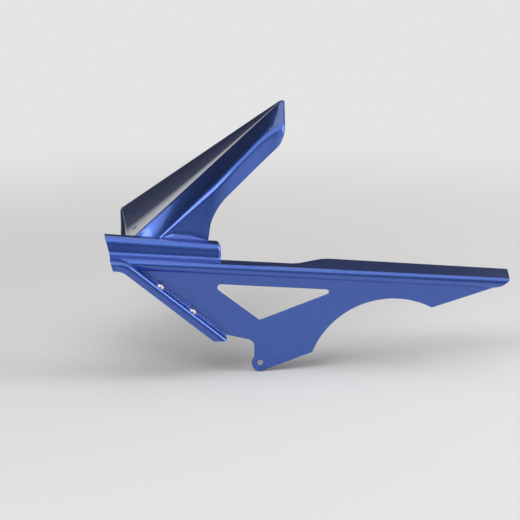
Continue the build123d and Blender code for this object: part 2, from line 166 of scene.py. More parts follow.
def walled(piece, cuts=()):
    """Gives a sheet its wall on the inner side, marks that side in an attribute and rounds its rims."""
    solid = piece.modifiers.new("wall", "SOLIDIFY")
    solid.thickness = WALL * MM
    solid.offset = -1.0
    solid.use_even_offset = True
    solid.use_quality_normals = True
    solid.material_offset = 1
    for _ in range(2):
        piece.data.materials.append(None)
    baked(piece)
    inside = piece.data.attributes.new("inside", "FLOAT", "FACE")
    inside.data.foreach_set("value", [float(p.material_index) for p in piece.data.polygons])
    piece.data.materials.clear()
    if cuts:
        trimmed(piece, cuts)
    round_rims(piece, EDGE_ROUND)
    print(piece.name, len(piece.data.polygons), "faces")
    return piece


def trimmed(piece, cuts=()):
    """Merges doubles, cuts by planes, each a point and the side taken away, and turns faces outwards."""
    mesh = bmesh.new()
    mesh.from_mesh(piece.data)
    bmesh.ops.remove_doubles(mesh, verts=mesh.verts, dist=MERGE_DISTANCE * MM)
    for point, away in cuts:
        everything = [*mesh.verts, *mesh.edges, *mesh.faces]
        plane = {"plane_co": Vector(point) * MM, "plane_no": away}
        cut = bmesh.ops.bisect_plane(mesh, geom=everything, clear_outer=True, **plane)
        rim = [e for e in cut["geom_cut"] if isinstance(e, bmesh.types.BMEdge)]
        bmesh.ops.edgeloop_fill(mesh, edges=rim)
    bmesh.ops.recalc_face_normals(mesh, faces=mesh.faces)
    mesh.to_mesh(piece.data)
    mesh.free()
    return piece


def round_rims(piece, width):
    """Rounds the sharp edges of a closed wall and keeps its flat faces flat."""
    bevel = piece.modifiers.new("rims", "BEVEL")
    bevel.width = width * MM
    bevel.segments = BEVEL_STEPS
    bevel.limit_method = "ANGLE"
    bevel.angle_limit = BEVEL_ANGLE
    bevel.harden_normals = True
    piece.data.shade_smooth()
    return baked(piece)


def cut_out(piece, cutters):
    """Takes closed cutters out of a closed piece."""
    for cutter in cutters:
        cut = piece.modifiers.new("cut", "BOOLEAN")
        cut.object = cutter
        cut.solver = "EXACT"
    baked(piece)
    for cutter in cutters:
        bpy.data.objects.remove(cutter)
    return piece


print("helpers ready, wall", WALL, "mm")

# %% [markdown]
# ## The camera's place
# The photograph was taken from the guard's side, a little from the front and about 14 degrees above the
# part, with a long lens. The camera stands on that line. A long focal length keeps the guard's edges almost
# parallel, as they are in the photograph.

# %% Camera
CAMERA_TARGET = Vector((10.8, 135.0, 89.5)) * MM
CAMERA_AZIMUTH = radians(-4.8)
CAMERA_HEIGHT = radians(13.9)
CAMERA_DISTANCE = 2620.0 * MM
CAMERA_LENS = 149.5
CAMERA_SENSOR = 36.0
CAMERA_REACH = 50.0

camera_data = bpy.data.cameras.new("camera")
camera_data.lens = CAMERA_LENS
camera_data.sensor_width = CAMERA_SENSOR
camera_data.clip_end = CAMERA_REACH
camera = bpy.data.objects.new("camera", camera_data)
level = cos(CAMERA_HEIGHT)
back_line = Vector((sin(CAMERA_AZIMUTH) * level, -cos(CAMERA_AZIMUTH) * level, sin(CAMERA_HEIGHT)))
camera.location = CAMERA_TARGET + back_line * CAMERA_DISTANCE
camera.rotation_euler = back_line.to_track_quat("Z", "Y").to_euler()
bpy.context.scene.collection.objects.link(camera)
bpy.context.scene.camera = camera
print("camera at", [round(v, 3) for v in camera.location])

# %% [markdown]
# ## The tongue
# The tongue falls forward from a peak at its tail. Two creases start together at the peak and spread
# towards the front, so the crown between them is a long shallow triangle, hollowed a little. Outside the
# creases the sides slope to a rounded shoulder and turn down into skirts. The tongue could be lofted from
# drawn curves, but its sections all have the same parts, so one function draws a section and a table says
# how wide the shoulders are along the way.

# %% Sizes of the tongue
TONGUE_MIDDLE_Y = 135.0
PEAK_X = 34.7
PEAK_Z = 284.3
TONGUE_SLOPE = radians(38.2)
TAIL_TILT = radians(10.4)
TONGUE_LENGTH = 262.0
TAIL_LIP = 9.5
TAIL_LIP_FOOT = 6.5
TAIL_LIP_START = 4.0
RIDGE_HALF = 4.0
CREASE_FRONT_HALF = 110.0
CREASE_ROUND = 2.4
CREASE_SHARE = 0.3
CROWN_POINTS = 12
SIDE_STEPS = 10
SHOULDER_POINTS = 12
# Distance from the peak, half width and drop of the shoulder
SHOULDERS = np.array((
    (0.0, 58.0, 21.5),
    (15.0, 62.2, 15.6),
    (30.0, 67.5, 12.9),
    (45.0, 74.0, 13.0),
    (60.0, 80.6, 14.2),
    (75.0, 86.6, 15.1),
    (90.0, 91.0, 16.4),
    (120.0, 95.3, 20.1),
    (TONGUE_LENGTH, 113.0, 38.0),
))
# Two distances from the peak, and the shoulder's radius at each
SHOULDER_RADII = ((110.0, 175.0), (16.0, 9.0))
DISH_TAIL = 0.5
DISH_FRONT = 6.0
SKIRT_FLARE = 0.1
print("tongue", TONGUE_LENGTH, "mm long, shoulder given at", len(SHOULDERS), "places")


# %% Section of the tongue
def through(table, column, at):
    """Smooth value of a table's column at a distance."""
    knots = table[:, 0]
    values = table[:, column]
    slope = np.diff(values) / np.diff(knots)
    tangent = np.concatenate(([slope[0]], (slope[1:] + slope[:-1]) / 2, [slope[-1]]))
    i = min(max(int(np.searchsorted(knots, at)) - 1, 0), len(knots) - 2)
    step = knots[i + 1] - knots[i]
    t = (at - knots[i]) / step
    start = (2 * t**3 - 3 * t**2 + 1) * values[i] + (t**3 - 2 * t**2 + t) * step * tangent[i]
    return start + (3 * t**2 - 2 * t**3) * values[i + 1] + (t**3 - t**2) * step * tangent[i + 1]


def shoulder(s):
    """Half width and drop of the shoulder at a distance from the peak."""
    s = max(s, 0.0)
    return through(SHOULDERS, 1, s), through(SHOULDERS, 2, s)


def corner_arc(before, corner, after, radius, steps):
    """Points of the arc that rounds a corner, from one side to the other."""
    before, corner, after = (np.array(p, float) for p in (before, corner, after))
    back = (before - corner) / np.linalg.norm(before - corner)
    ahead = (after - corner) / np.linalg.norm(after - corner)
    half = acos(np.clip(back @ ahead, -1, 1)) / 2
    middle = (back + ahead) / np.linalg.norm(back + ahead)
    centre = corner + middle * radius / sin(half)
    start = corner + back * radius / tan(half) - centre
    end = corner + ahead * radius / tan(half) - centre
    turn = acos(np.clip(start @ end / radius**2, -1, 1))
    weights = np.linspace(0, 1, steps)
    return [centre + (sin((1 - w) * turn) * start + sin(w * turn) * end) / sin(turn) for w in weights]


def upper_section(s, sink):
    """Half section from the middle of the crown to the end of the shoulder's bend: (out, up)."""
    share = s / TONGUE_LENGTH
    crease = RIDGE_HALF + share * (CREASE_FRONT_HALF - RIDGE_HALF)
    dish = DISH_TAIL + share * (DISH_FRONT - DISH_TAIL)
    half, drop = shoulder(s)
    half -= sink
    round_off = min(CREASE_ROUND, CREASE_SHARE * crease)
    across = np.linspace(0, crease - round_off, CROWN_POINTS)
    crown = [(y, -dish * (1 - (y / crease) ** 2)) for y in across]
    out = np.array((half - crease, -drop)) / sqrt((half - crease) ** 2 + drop**2)
    p0, p1, p2 = np.array(crown[-1]), np.array((crease, 0.0)), np.array((crease, 0.0)) + out * round_off
    bend = [(1 - t) ** 2 * p0 + 2 * t * (1 - t) * p1 + t * t * p2 for t in (0.25, 0.5, 0.75, 1.0)]
    radius = np.interp(s, *SHOULDER_RADII)
    skirt_line = (half + SKIRT_FLARE, -drop - 1)
    arc = corner_arc((crease, 0), (half, -drop), skirt_line, radius, SHOULDER_POINTS)
    side = [p2 + (arc[0] - p2) * t for t in np.linspace(0, 1, SIDE_STEPS + 1)[1:-1]]
    return np.array([*crown, *bend, *side, *arc]) - (0, sink)


def place(s, out, up, side):
    """Point of the tongue from its distance, half width and height in the section."""
    x = PEAK_X - s * cos(TONGUE_SLOPE) + up * sin(TAIL_TILT)
    z = PEAK_Z - s * sin(TONGUE_SLOPE) + up * cos(TAIL_TILT)
    return x, TONGUE_MIDDLE_Y + side * out, z


print("rows above the skirt", len(upper_section(100.0, 0.0)))

# %% [markdown]
# The skirt's lower edge is straight from the tail, then turns in a wide sweep until it points down, and
# from there runs forward along the foot. A point of that edge is known in the side view, so it is first
# turned into a distance along the tongue and a height in its section. Each column of the grid then runs
# from the shoulder to its own point of the edge, which keeps every row smooth and needs no cutting.

# %% Lower edge of the skirts
SKIRT_TAIL_X = 30.3
SKIRT_TAIL_Z = 242.9
SKIRT_SLOPE = radians(39.8)
SKIRT_FRONT_X = -58.0
SKIRT_SWEEP_RADIUS = 70.0
SKIRT_FOOT_REAR_Z = 137.0
SKIRT_FOOT_SLOPE = radians(26.0)
FRONT_EDGE_X = -158.0
FRONT_EDGE_BOW = 6.0
FRONT_REACH = 146.0
FOOT_HALF_WIDTH = 108.0
SWEEP_POINTS = 26
FOOT_POINTS = 56


def in_section(x, z):
    """Distance along the tongue and height in the section of a point in the side view."""
    matrix = np.array(((-cos(TONGUE_SLOPE), sin(TAIL_TILT)), (-sin(TONGUE_SLOPE), cos(TAIL_TILT))))
    return np.linalg.solve(matrix, (x - PEAK_X, z - PEAK_Z))


def slope_edge_up(s):
    """Height in the section at which the straight part of the edge is met."""
    m = tan(SKIRT_SLOPE)
    gap = SKIRT_TAIL_Z - PEAK_Z + s * sin(TONGUE_SLOPE) + m * (PEAK_X - s * cos(TONGUE_SLOPE) - SKIRT_TAIL_X)
    return gap / (cos(TAIL_TILT) - m * sin(TAIL_TILT))


def front_edge_x(y):
    """Bowed front edge of the tongue, seen from above."""
    return FRONT_EDGE_X + FRONT_EDGE_BOW * (1 - ((y - TONGUE_MIDDLE_Y) / FRONT_REACH) ** 2)


knee = (SKIRT_FRONT_X, SKIRT_TAIL_Z - (SKIRT_TAIL_X - SKIRT_FRONT_X) * tan(SKIRT_SLOPE))
tail_corner, below_knee = (SKIRT_TAIL_X, SKIRT_TAIL_Z), (SKIRT_FRONT_X, 0.0)
sweep = corner_arc(tail_corner, knee, below_knee, SKIRT_SWEEP_RADIUS, SWEEP_POINTS)
sweep = [p for p in sweep if p[1] > SKIRT_FOOT_REAR_Z] + [np.array((SKIRT_FRONT_X, SKIRT_FOOT_REAR_Z))]
foot_end_x = front_edge_x(TONGUE_MIDDLE_Y - FOOT_HALF_WIDTH)
foot_x = np.linspace(SKIRT_FRONT_X, foot_end_x, FOOT_POINTS)[1:]
foot = [(x, SKIRT_FOOT_REAR_Z - (SKIRT_FRONT_X - x) * tan(SKIRT_FOOT_SLOPE)) for x in foot_x]
sweep_start = in_section(*sweep[0])[0]
print("sweep starts at", round(sweep_start, 1), "mm from the peak and has", len(sweep), "points")


# %% Columns of the tongue
SWEEP_SPAN = 26.0
TAIL_COLUMNS = 13
SLOPE_COLUMNS = 40
front_start = sweep_start + SWEEP_SPAN


def tongue_columns():
    """Each column: distance at the shoulder, sink of the lip, distance and height of its lower end."""
    columns = []
    for turn in np.linspace(0, pi / 2, TAIL_COLUMNS)[:-1]:
        s = TAIL_LIP_START - (TAIL_LIP_START + TAIL_LIP) * cos(turn)
        foot_s = TAIL_LIP_START - (TAIL_LIP_START + TAIL_LIP_FOOT) * cos(turn)
        columns.append((s, TAIL_LIP * (1 - sin(turn)), foot_s, slope_edge_up(foot_s)))
    for s in np.linspace(TAIL_LIP_START, sweep_start, SLOPE_COLUMNS)[:-1]:
        columns.append((s, 0.0, s, slope_edge_up(s)))
    for i, p in enumerate(sweep):
        columns.append((sweep_start + SWEEP_SPAN * i / (len(sweep) - 1), 0.0, *in_section(*p)))
    front = in_section(*foot[-1])[0]
    for i, p in enumerate(foot):
        s = front_start + (front - front_start) * (i + 1) / len(foot)
        columns.append((s, 0.0, *in_section(*p)))
    return columns


columns = tongue_columns()
front_top = columns[-1][0]
print("columns", len(columns), "front distance", round(front_top, 1))

# %% [markdown]
# ## Lines of the tunnel and the guard
# The tunnel stands on the guard's top flange. Its heights and the flange's are straight lines, so small
# functions give them anywhere along the part. The tongue needs the tunnel's roof too, because its near
# skirt runs out onto that roof in a hollow fillet.

# %% Lines of the guard and the tunnel
GUARD_SLOPE = radians(4.1)
BEAD_Z = 109.8
BEAD_Y = 1.8
BEAD_RADIUS = 6.5
GUARD_FRONT_X = -172.5
GUARD_FRONT_RAKE = radians(14.6)
TUNNEL_Y = 16.0
TUNNEL_TOP_Z = 133.2
TUNNEL_SLOPE = radians(5.4)
TUNNEL_RADIUS = 9.0
TUNNEL_WIDTH_FRONT = 18.0
TUNNEL_WIDTH_REAR = 24.0
NOSE_X = -44.0
NOSE_LENGTH = 5.0
NOSE_INSET = 3.5


def bead_z(x):
    """Height of the bead's middle."""
    return BEAD_Z - x * tan(GUARD_SLOPE)


def flange_z(x):
    """Height of the flange's top."""
    return bead_z(x) + BEAD_RADIUS / cos(GUARD_SLOPE)


def tunnel_z(x):
    """Height of the tunnel's roof."""
    return TUNNEL_TOP_Z - x * tan(TUNNEL_SLOPE)


def tunnel_inner_y(x):
    """Inner side of the tunnel, which widens towards the nose."""
    share = (x - GUARD_FRONT_X) / (NOSE_X - GUARD_FRONT_X)
    return TUNNEL_Y + TUNNEL_WIDTH_FRONT + share * (TUNNEL_WIDTH_REAR - TUNNEL_WIDTH_FRONT)


def guard_front_x(z):
    """Raked front end of the guard and the tunnel."""
    return GUARD_FRONT_X - (z - flange_z(GUARD_FRONT_X)) * tan(GUARD_FRONT_RAKE)


print("roof at the nose", round(tunnel_z(NOSE_X), 1), "flange there", round(flange_z(NOSE_X), 1))

# %% [markdown]
# Now the tongue's grid can be filled. Rows above the skirt come from the section. On the near side the last
# rows follow a quarter circle down to the tunnel's roof, so that the two surfaces flow into each other
# without a line. A last row goes straight down into the roof, where it hides the rounded rim.

# %% Fill the tongue
FILLET_RADIUS = 8.0
FILLET_GROWTH = 0.35
FILLET_ROOT = 1.5
FILLET_LEAST = 0.5
FILLET_SHARE = 0.6
FREE_SHARE = 0.5
SKIRT_ROWS = 11
FILLET_ROWS = 9
FRONT_ROUNDS = 4


def skirt_points(column, top_s, top_up, side):
    """Points of one skirt column from the shoulder's bend to the lower edge."""
    _, sink, low_s, low_up = column
    top = place(top_s, 0, top_up, side)
    low = place(low_s, 0, low_up, side)
    roof = tunnel_z(low[0])
    grown = FILLET_GROWTH * max(0.0, SKIRT_FRONT_X - low[0])
    radius = min(FILLET_RADIUS, grown, FILLET_SHARE * (top[2] - roof))
    has_fillet = side < 0 and sink == 0 and radius > FILLET_LEAST
    if has_fillet and low[2] < roof + radius:
        turn = asin(min((roof + radius - low[2]) / radius, 1.0))
        steps = FILLET_ROWS if low[2] > roof else FILLET_ROWS - 1
        fillet = [radius * sin(turn * k / steps) for k in range(steps + 1)]
        heights = [roof + radius - drop for drop in fillet]
        spread = [radius - sqrt(max(radius**2 - drop**2, 0.0)) for drop in fillet]
        if steps < FILLET_ROWS:
            heights.append(roof - FILLET_ROOT)
            spread.append(spread[-1])
    else:
        heights = list(np.linspace(low[2] + FREE_SHARE * (top[2] - low[2]), low[2], FILLET_ROWS + 1))
        spread = [0.0] * (FILLET_ROWS + 1)
    upper = np.linspace(top[2], heights[0], SKIRT_ROWS + 1)[1:-1]
    points = []
    for z, out_more in zip([*upper, *heights], [*(0.0 for _ in upper), *spread]):
        w = (z - top[2]) / (low[2] - top[2])
        s = top_s + w * (low_s - top_s)
        up = top_up + w * (low_up - top_up)
        half, drop = shoulder(s)
        out = half - sink + SKIRT_FLARE * (-up - sink - drop) + out_more
        points.append(place(s, out, up, side))
    return points


def half_grid(side):
    """One half of the tongue, a list of columns of points from the middle outwards."""
    grid = []
    for column in columns:
        s, sink = column[:2]
        section = upper_section(s, sink)
        line = []
        for row, (out, up) in enumerate(section):
            at = s
            if s > front_start:
                share = (s - front_start) / (front_top - front_start)
                # Each round brings the point closer to the bowed front edge
                for _ in range(FRONT_ROUNDS):
                    edge_x = front_edge_x(TONGUE_MIDDLE_Y + side * out)
                    end = (PEAK_X + up * sin(TAIL_TILT) - edge_x) / cos(TONGUE_SLOPE)
                    at = front_start + share * (end - front_start)
                    out, up = upper_section(at, sink)[row]
            line.append(place(at, out, up, side))
        line += skirt_points(column, at, up, side)
        grid.append(line)
    return np.array(grid).transpose(1, 0, 2)


print("skirt rows", SKIRT_ROWS + FILLET_ROWS)

# %% [markdown]
# Two holes near the front edge and the open space of the tunnel are taken out of the tongue's wall. A hole
# can be left as a gap in a grid, but these cross the rows at odd places, so Booleans with closed cutters
# are used. The wall is closed first, from the filled grid and an inner grid one wall away from it.

# %% Cutters for the tongue
FRONT_HOLE_X = -143.0
FRONT_HOLE_HALF_SPACING = 42.0
HOLE_RADIUS = 3.3
HOLE_POINTS = 40
CUTTER_LENGTH = 40.0
CUTTER_FOOT_Z = 60.0
CUTTER_PAST_FRONT = 20.0
CUTTER_PAST_NOSE = 1.0
CUTTER_OVERLAP = 0.5
CUTTER_BEND_POINTS = 12


def hole_cutter(out):
    """Round bar through the tongue's front edge, square to its slope."""
    s = (PEAK_X - FRONT_HOLE_X) / cos(TONGUE_SLOPE)
    line = Vector((-sin(TONGUE_SLOPE), 0, cos(TONGUE_SLOPE)))
    size = {"radius1": HOLE_RADIUS * MM, "radius2": HOLE_RADIUS * MM, "depth": CUTTER_LENGTH * MM}
    mesh = bmesh.new()
    bmesh.ops.create_cone(mesh, cap_ends=True, segments=HOLE_POINTS, **size)
    bar = made_object("hole_cutter", mesh)
    bar.data.transform(line.to_track_quat("Z", "Y").to_matrix().to_4x4())
    bar.location = Vector(place(s, out, 0, 1)) * MM
    return bar


def tunnel_space():
    """Closed block that fills the inside of the tunnel and goes on below it."""
    gap = WALL - CUTTER_OVERLAP
    rings = []
    for x in (GUARD_FRONT_X - CUTTER_PAST_FRONT, NOSE_X + CUTTER_PAST_NOSE):
        outer, inner, top = TUNNEL_Y + gap, tunnel_inner_y(x) - gap, tunnel_z(x) - gap
        roll = corner_arc((outer, 0), (outer, top), (inner, top), TUNNEL_RADIUS - gap, CUTTER_BEND_POINTS)
        section = ((outer, CUTTER_FOOT_Z), *roll, (inner, top), (inner, CUTTER_FOOT_Z))
        rings.append([(x, y, z) for y, z in section])
    mesh = bmesh.new()
    ends = [[mesh.verts.new(Vector(p) * MM) for p in ring] for ring in rings]
    for i in range(len(rings[0])):
        mesh.faces.new((ends[0][i - 1], ends[0][i], ends[1][i], ends[1][i - 1]))
    for end in ends:
        mesh.faces.new(end)
    bmesh.ops.recalc_face_normals(mesh, faces=mesh.faces)
    return made_object("tunnel_space", mesh)


print("front holes", 2 * HOLE_RADIUS, "mm wide")

# %% Wall of the tongue
TONGUE_SHARP = radians(45)


def inner_grid(outer):
    """The tongue's inner side: along the normal under the crown, straight inwards in the skirts."""
    normal = np.cross(np.gradient(outer, axis=1), np.gradient(outer, axis=0))
    normal /= np.linalg.norm(normal, axis=2, keepdims=True)
    normal *= np.sign(normal[len(outer) // 2, :, 2].mean())
    skirt = SKIRT_ROWS + FILLET_ROWS
    normal[:skirt] = (0, -1, 0)
    normal[-skirt:] = (0, 1, 0)
    return outer - WALL * normal


outer = np.concatenate((half_grid(-1)[::-1], half_grid(1)[1:]))
tongue = closed_wall("tongue", outer, inner_grid(outer))
front_holes = [hole_cutter(side * FRONT_HOLE_HALF_SPACING) for side in (-1, 1)]
cut_out(tongue, [tunnel_space(), *front_holes])
tongue.data.shade_smooth()
tongue.data.set_sharp_from_angle(angle=TONGUE_SHARP)
print("tongue cut,", len(tongue.data.polygons), "faces")

# %% [markdown]
# ## The tunnel
# The tunnel is a low cover beside the tongue. A curve could sweep it, but its width and its nose change
# along the way, so it is a grid too. Its section is a hollow fillet at the foot, a side wall that leans in,
# a rounded roof edge and the inner wall. The section slides along straight lines, the front end is cut at a
# rake, and near the nose it draws in along a quarter of an ellipse, so that the rear end looks like a
# rolled rim around the mouth.

# %% Tunnel sheet
TUNNEL_FOOT_RADIUS = 5.0
TUNNEL_INNER_ROUND = 2.0
TUNNEL_DRAFT = 0.1
TUNNEL_TUCK = (1.5, 0.25)
TUNNEL_BEND_POINTS = (9, 13, 6)
TUNNEL_COLUMNS = 30
NOSE_COLUMNS = 9
NOSE_START_X = NOSE_X - NOSE_LENGTH


def tunnel_section(x):
    """Points of the tunnel's outer surface at a place along the part: (y, z)."""
    reach = max(0.0, (x - NOSE_START_X) / NOSE_LENGTH)
    foot_points, roll_points, back_points = TUNNEL_BEND_POINTS
    inset = NOSE_INSET * (1 - sqrt(max(0.0, 1 - min(reach, 1.0) ** 2)))
    outer = TUNNEL_Y + inset
    inner = tunnel_inner_y(x)
    top = tunnel_z(x) - inset
    floor = flange_z(x)
    crest = outer + TUNNEL_DRAFT * (top - floor)
    foot = corner_arc((0, floor), (outer, floor), (crest, top), TUNNEL_FOOT_RADIUS, foot_points)
    roll = corner_arc((outer, floor), (crest, top), (inner, top), TUNNEL_RADIUS, roll_points)
    back = corner_arc((crest, top), (inner, top), (inner, floor), TUNNEL_INNER_ROUND, back_points)
    wall = [foot[-1] + (roll[0] - foot[-1]) * t for t in (0.33, 0.67)]
    roof = [roll[-1] + (back[0] - roll[-1]) * t for t in (0.25, 0.5, 0.75)]
    end = [back[-1] + (np.array((inner, floor - WALL)) - back[-1]) * t for t in (0.33, 0.67, 1.0)]
    return np.array([foot[0] - TUNNEL_TUCK, *foot, *wall, *roll, *roof, *back, *end])


def tunnel_grid():
    """Rows along the tunnel's section, columns from its raked front to its nose."""
    straight = np.linspace(0, 1, TUNNEL_COLUMNS)[:-1] * (NOSE_START_X - GUARD_FRONT_X)
    nose = [NOSE_LENGTH * sin(a) for a in np.linspace(0, pi / 2, NOSE_COLUMNS)]
    grid = []
    for x in (*(GUARD_FRONT_X + straight), *(NOSE_START_X + reach for reach in nose)):
        share = max(0.0, (NOSE_START_X - x) / (NOSE_START_X - GUARD_FRONT_X))
        line = []
        for row, (_, z) in enumerate(tunnel_section(x)):
            at = x + share * (guard_front_x(z) - GUARD_FRONT_X)
            line.append((at, *tunnel_section(at)[row]))
        grid.append(line)
    return np.array(grid).transpose(1, 0, 2)


tunnel = flip_to(sheet("tunnel", tunnel_grid()), (0, -1, 1))
walled(tunnel)

# %% [markdown]
# ## Flange and bead
# The guard's top is a flat flange that ends in a rolled bead on the outer side. Curve to Mesh could sweep
# that section, but the flange widens half way along, so a grid whose last row follows the inner edge is
# simpler.

# %% Flange and bead sheet
FLANGE_REAR_Y = 52.0
FLANGE_TIP_X = 297.0
FLANGE_TIP_Y = 45.0
WIDEN_START_X = 43.0
WIDEN_END_X = 79.0
WIDEN_ROUND = 7.0
WIDEN_MARGIN = 12.0
WIDEN_COLUMNS = 30
WIDEN_SAMPLES = 15
FLANGE_COLUMNS = 40
FLANGE_ROWS = 14
BEAD_POINTS = 22
BEAD_TOP = 0.1
GUARD_REAR_X = 290.0
TIP_X = 283.0
TIP_Z = 87.4
TIP_RISE = 5.4
ARCH_X = 152.8
ARCH_Z = -25.9
ARCH_RADIUS = 99.5
ARCH_REAR_ANGLE = radians(61.7)
ARCH_REAR = (ARCH_X + ARCH_RADIUS * cos(ARCH_REAR_ANGLE), ARCH_Z + ARCH_RADIUS * sin(ARCH_REAR_ANGLE))


def flange_inner_y(x):
    """Inner edge of the flange, with its two corners rounded."""
    knots = (WIDEN_START_X, WIDEN_END_X, FLANGE_TIP_X)
    widths = (TUNNEL_Y + WALL, FLANGE_REAR_Y, FLANGE_TIP_Y)
    around = np.linspace(-WIDEN_ROUND, WIDEN_ROUND, WIDEN_SAMPLES)
    return float(np.mean(np.interp(x + around, knots, widths)))


def flange_end_x(y, up):
    """Rear end of the flange, which slants outwards and is cut upwards below the bead."""
    width = FLANGE_TIP_Y - BEAD_Y + BEAD_RADIUS
    slant = GUARD_REAR_X + (y - BEAD_Y + BEAD_RADIUS) * (FLANGE_TIP_X - GUARD_REAR_X) / width
    if up >= BEAD_RADIUS - BEAD_TOP:
        return slant
    tip_z = bead_z(GUARD_REAR_X) + up
    return min(slant, TIP_X + (tip_z - TIP_Z) * (GUARD_REAR_X - TIP_X) / TIP_RISE)


def flange_grid():
    """Rows round the bead and across the flange, columns from the raked front to the tip."""
    turns = np.linspace(1.5 * pi, 0.5 * pi, BEAD_POINTS)
    bead = [(BEAD_Y + BEAD_RADIUS * cos(a), BEAD_RADIUS * sin(a)) for a in turns]
    shares = np.linspace(0, 1, FLANGE_ROWS)[1:]
    widen_x, plain_x = WIDEN_START_X - WIDEN_MARGIN, WIDEN_END_X + WIDEN_MARGIN
    front_x = np.linspace(GUARD_FRONT_X, widen_x, FLANGE_COLUMNS)[:-1]
    rear_x = np.linspace(plain_x, FLANGE_TIP_X, FLANGE_COLUMNS)[1:]
    grid = []
    for x in np.concatenate((front_x, np.linspace(widen_x, plain_x, WIDEN_COLUMNS), rear_x)):
        front = max(0.0, (widen_x - x) / (widen_x - GUARD_FRONT_X))
        rear = max(0.0, (x - plain_x) / (FLANGE_TIP_X - plain_x))
        inner = flange_inner_y(x)
        line = []
        for y, up in (*bead, *((BEAD_Y + (inner - BEAD_Y) * t, BEAD_RADIUS) for t in shares)):
            start = guard_front_x(bead_z(GUARD_FRONT_X) + up)
            end = flange_end_x(y, up)
            at = x + front * (start - GUARD_FRONT_X) + rear * (end - FLANGE_TIP_X)
            line.append((at, y, bead_z(at) + up / cos(GUARD_SLOPE)))
        grid.append(line)
    return np.array(grid).transpose(1, 0, 2)


flange = flip_to(sheet("flange", flange_grid()), (0, -1, 1))
tail_edge = Vector((TIP_X - ARCH_REAR[0], 0, TIP_Z - ARCH_REAR[1])).normalized()
walled(flange, cuts=[((TIP_X, 0, TIP_Z), (tail_edge.z, 0, -tail_edge.x))])

# %% [markdown]
# ## The side panel
# The panel is flat, with a window, a wide arch and a lug with a hole. It could be cut with Booleans and
# bevelled, but a bevel on long thin triangles cracks. So each outline is repeated in small steps round the
# rim, from the front face to the back, and the two faces are filled between the outlines.

# %% Outlines of the panel
ARCH_FRONT_ANGLE = radians(158.0)
LUG_RADIUS = 10.0
LUG_HOLE_RADIUS = 3.3
NECK_X = -7.2
NECK_Z = 27.0
NECK_RADIUS = 9.0
WINDOW_LEFT_X = -58.6
WINDOW_RIGHT_X = 90.6
WINDOW_TOP_DROP = 18.1
WINDOW_FOOT = (-0.7, 51.2)
WINDOW_RADII = (4.0, 3.0, 3.0)
LEDGE_SLOPE = radians(39.2)
LEDGE_END_X = -40.0
LEDGE_END_Z = 33.8
RIB_HEIGHT = 2.2
PANEL_TOP_FRONT = 4.0
PANEL_TOP_REAR = 6.0
ARCH_POINTS = 60
LUG_POINTS = 36
NECK_POINTS = 14
WINDOW_POINTS = 10


def ledge_z(x):
    """Height of the sloped ledge."""
    return LEDGE_END_Z + (LEDGE_END_X - x) * tan(LEDGE_SLOPE)


def arc_points(x, z, radius, start, end, count):
    """Points of an arc in the side view."""
    return [(x + radius * cos(a), z + radius * sin(a)) for a in np.linspace(start, end, count)]


ledge_corner_x = (ledge_z(0) - flange_z(0)) / (tan(LEDGE_SLOPE) - tan(GUARD_SLOPE))


def panel_outline():
    """Outer edge of the panel in the side view: (x, z)."""
    angles = (ARCH_REAR_ANGLE, ARCH_FRONT_ANGLE)
    arch = arc_points(ARCH_X, ARCH_Z, ARCH_RADIUS, *angles, ARCH_POINTS)
    end = arch[-1]
    low = atan2(end[1], end[0]) - acos(LUG_RADIUS / sqrt(end[0] ** 2 + end[1] ** 2))
    lug = arc_points(0, 0, LUG_RADIUS, low, acos(NECK_X / LUG_RADIUS) - 2 * pi, LUG_POINTS)
    seat = WALL / 2 / cos(LEDGE_SLOPE)
    ledge_end = (LEDGE_END_X, LEDGE_END_Z + RIB_HEIGHT / cos(LEDGE_SLOPE) - seat)
    floor_end = (LEDGE_END_X - WALL, ledge_z(LEDGE_END_X - WALL) - seat)
    neck = corner_arc((NECK_X, 0), (NECK_X, NECK_Z), ledge_end, NECK_RADIUS, NECK_POINTS)
    top_x = ledge_corner_x + PANEL_TOP_FRONT
    top = [(x, bead_z(x) + BEAD_RADIUS - WALL / 2) for x in (top_x, GUARD_REAR_X - PANEL_TOP_REAR)]
    front = [ledge_end, floor_end, (top_x, ledge_z(top_x) - seat)]
    return [*arch, *lug, *map(tuple, neck), *front, *top, (TIP_X, TIP_Z)]


def window_outline():
    """Edge of the window, a triangle with rounded corners."""
    corners = [(x, bead_z(x) - WINDOW_TOP_DROP) for x in (WINDOW_LEFT_X, WINDOW_RIGHT_X)] + [WINDOW_FOOT]
    loop = []
    for i, radius in enumerate(WINDOW_RADII):
        bend = corner_arc(corners[i - 1], corners[i], corners[(i + 1) % 3], radius, WINDOW_POINTS)
        loop += map(tuple, bend)
    return loop


print("points of the panel", len(panel_outline()), "and of its window", len(window_outline()))

# %% Panel plate
HOLE_RIM_POINTS = 33
INSIDE_OUTLINE = 1
FILL_TOLERANCE = 0.0001
FLAT = 0.999


def turned(loop, sense):
    """Loop that runs counterclockwise for a sense of 1 and clockwise for -1."""
    x, z = np.array(loop).T
    area = np.sum(x * np.roll(z, -1) - np.roll(x, -1) * z)
    return np.array(loop if area * sense > 0 else loop[::-1])


def inset(loop, distance):
    """Loop moved to its left side."""
    ahead = np.roll(loop, -1, axis=0) - loop
    ahead /= np.linalg.norm(ahead, axis=1, keepdims=True)
    left = ahead[:, ::-1] * (-1, 1)
    middle = left + np.roll(left, 1, axis=0)
    return loop + 2 * distance * middle / np.sum(middle**2, axis=1, keepdims=True)


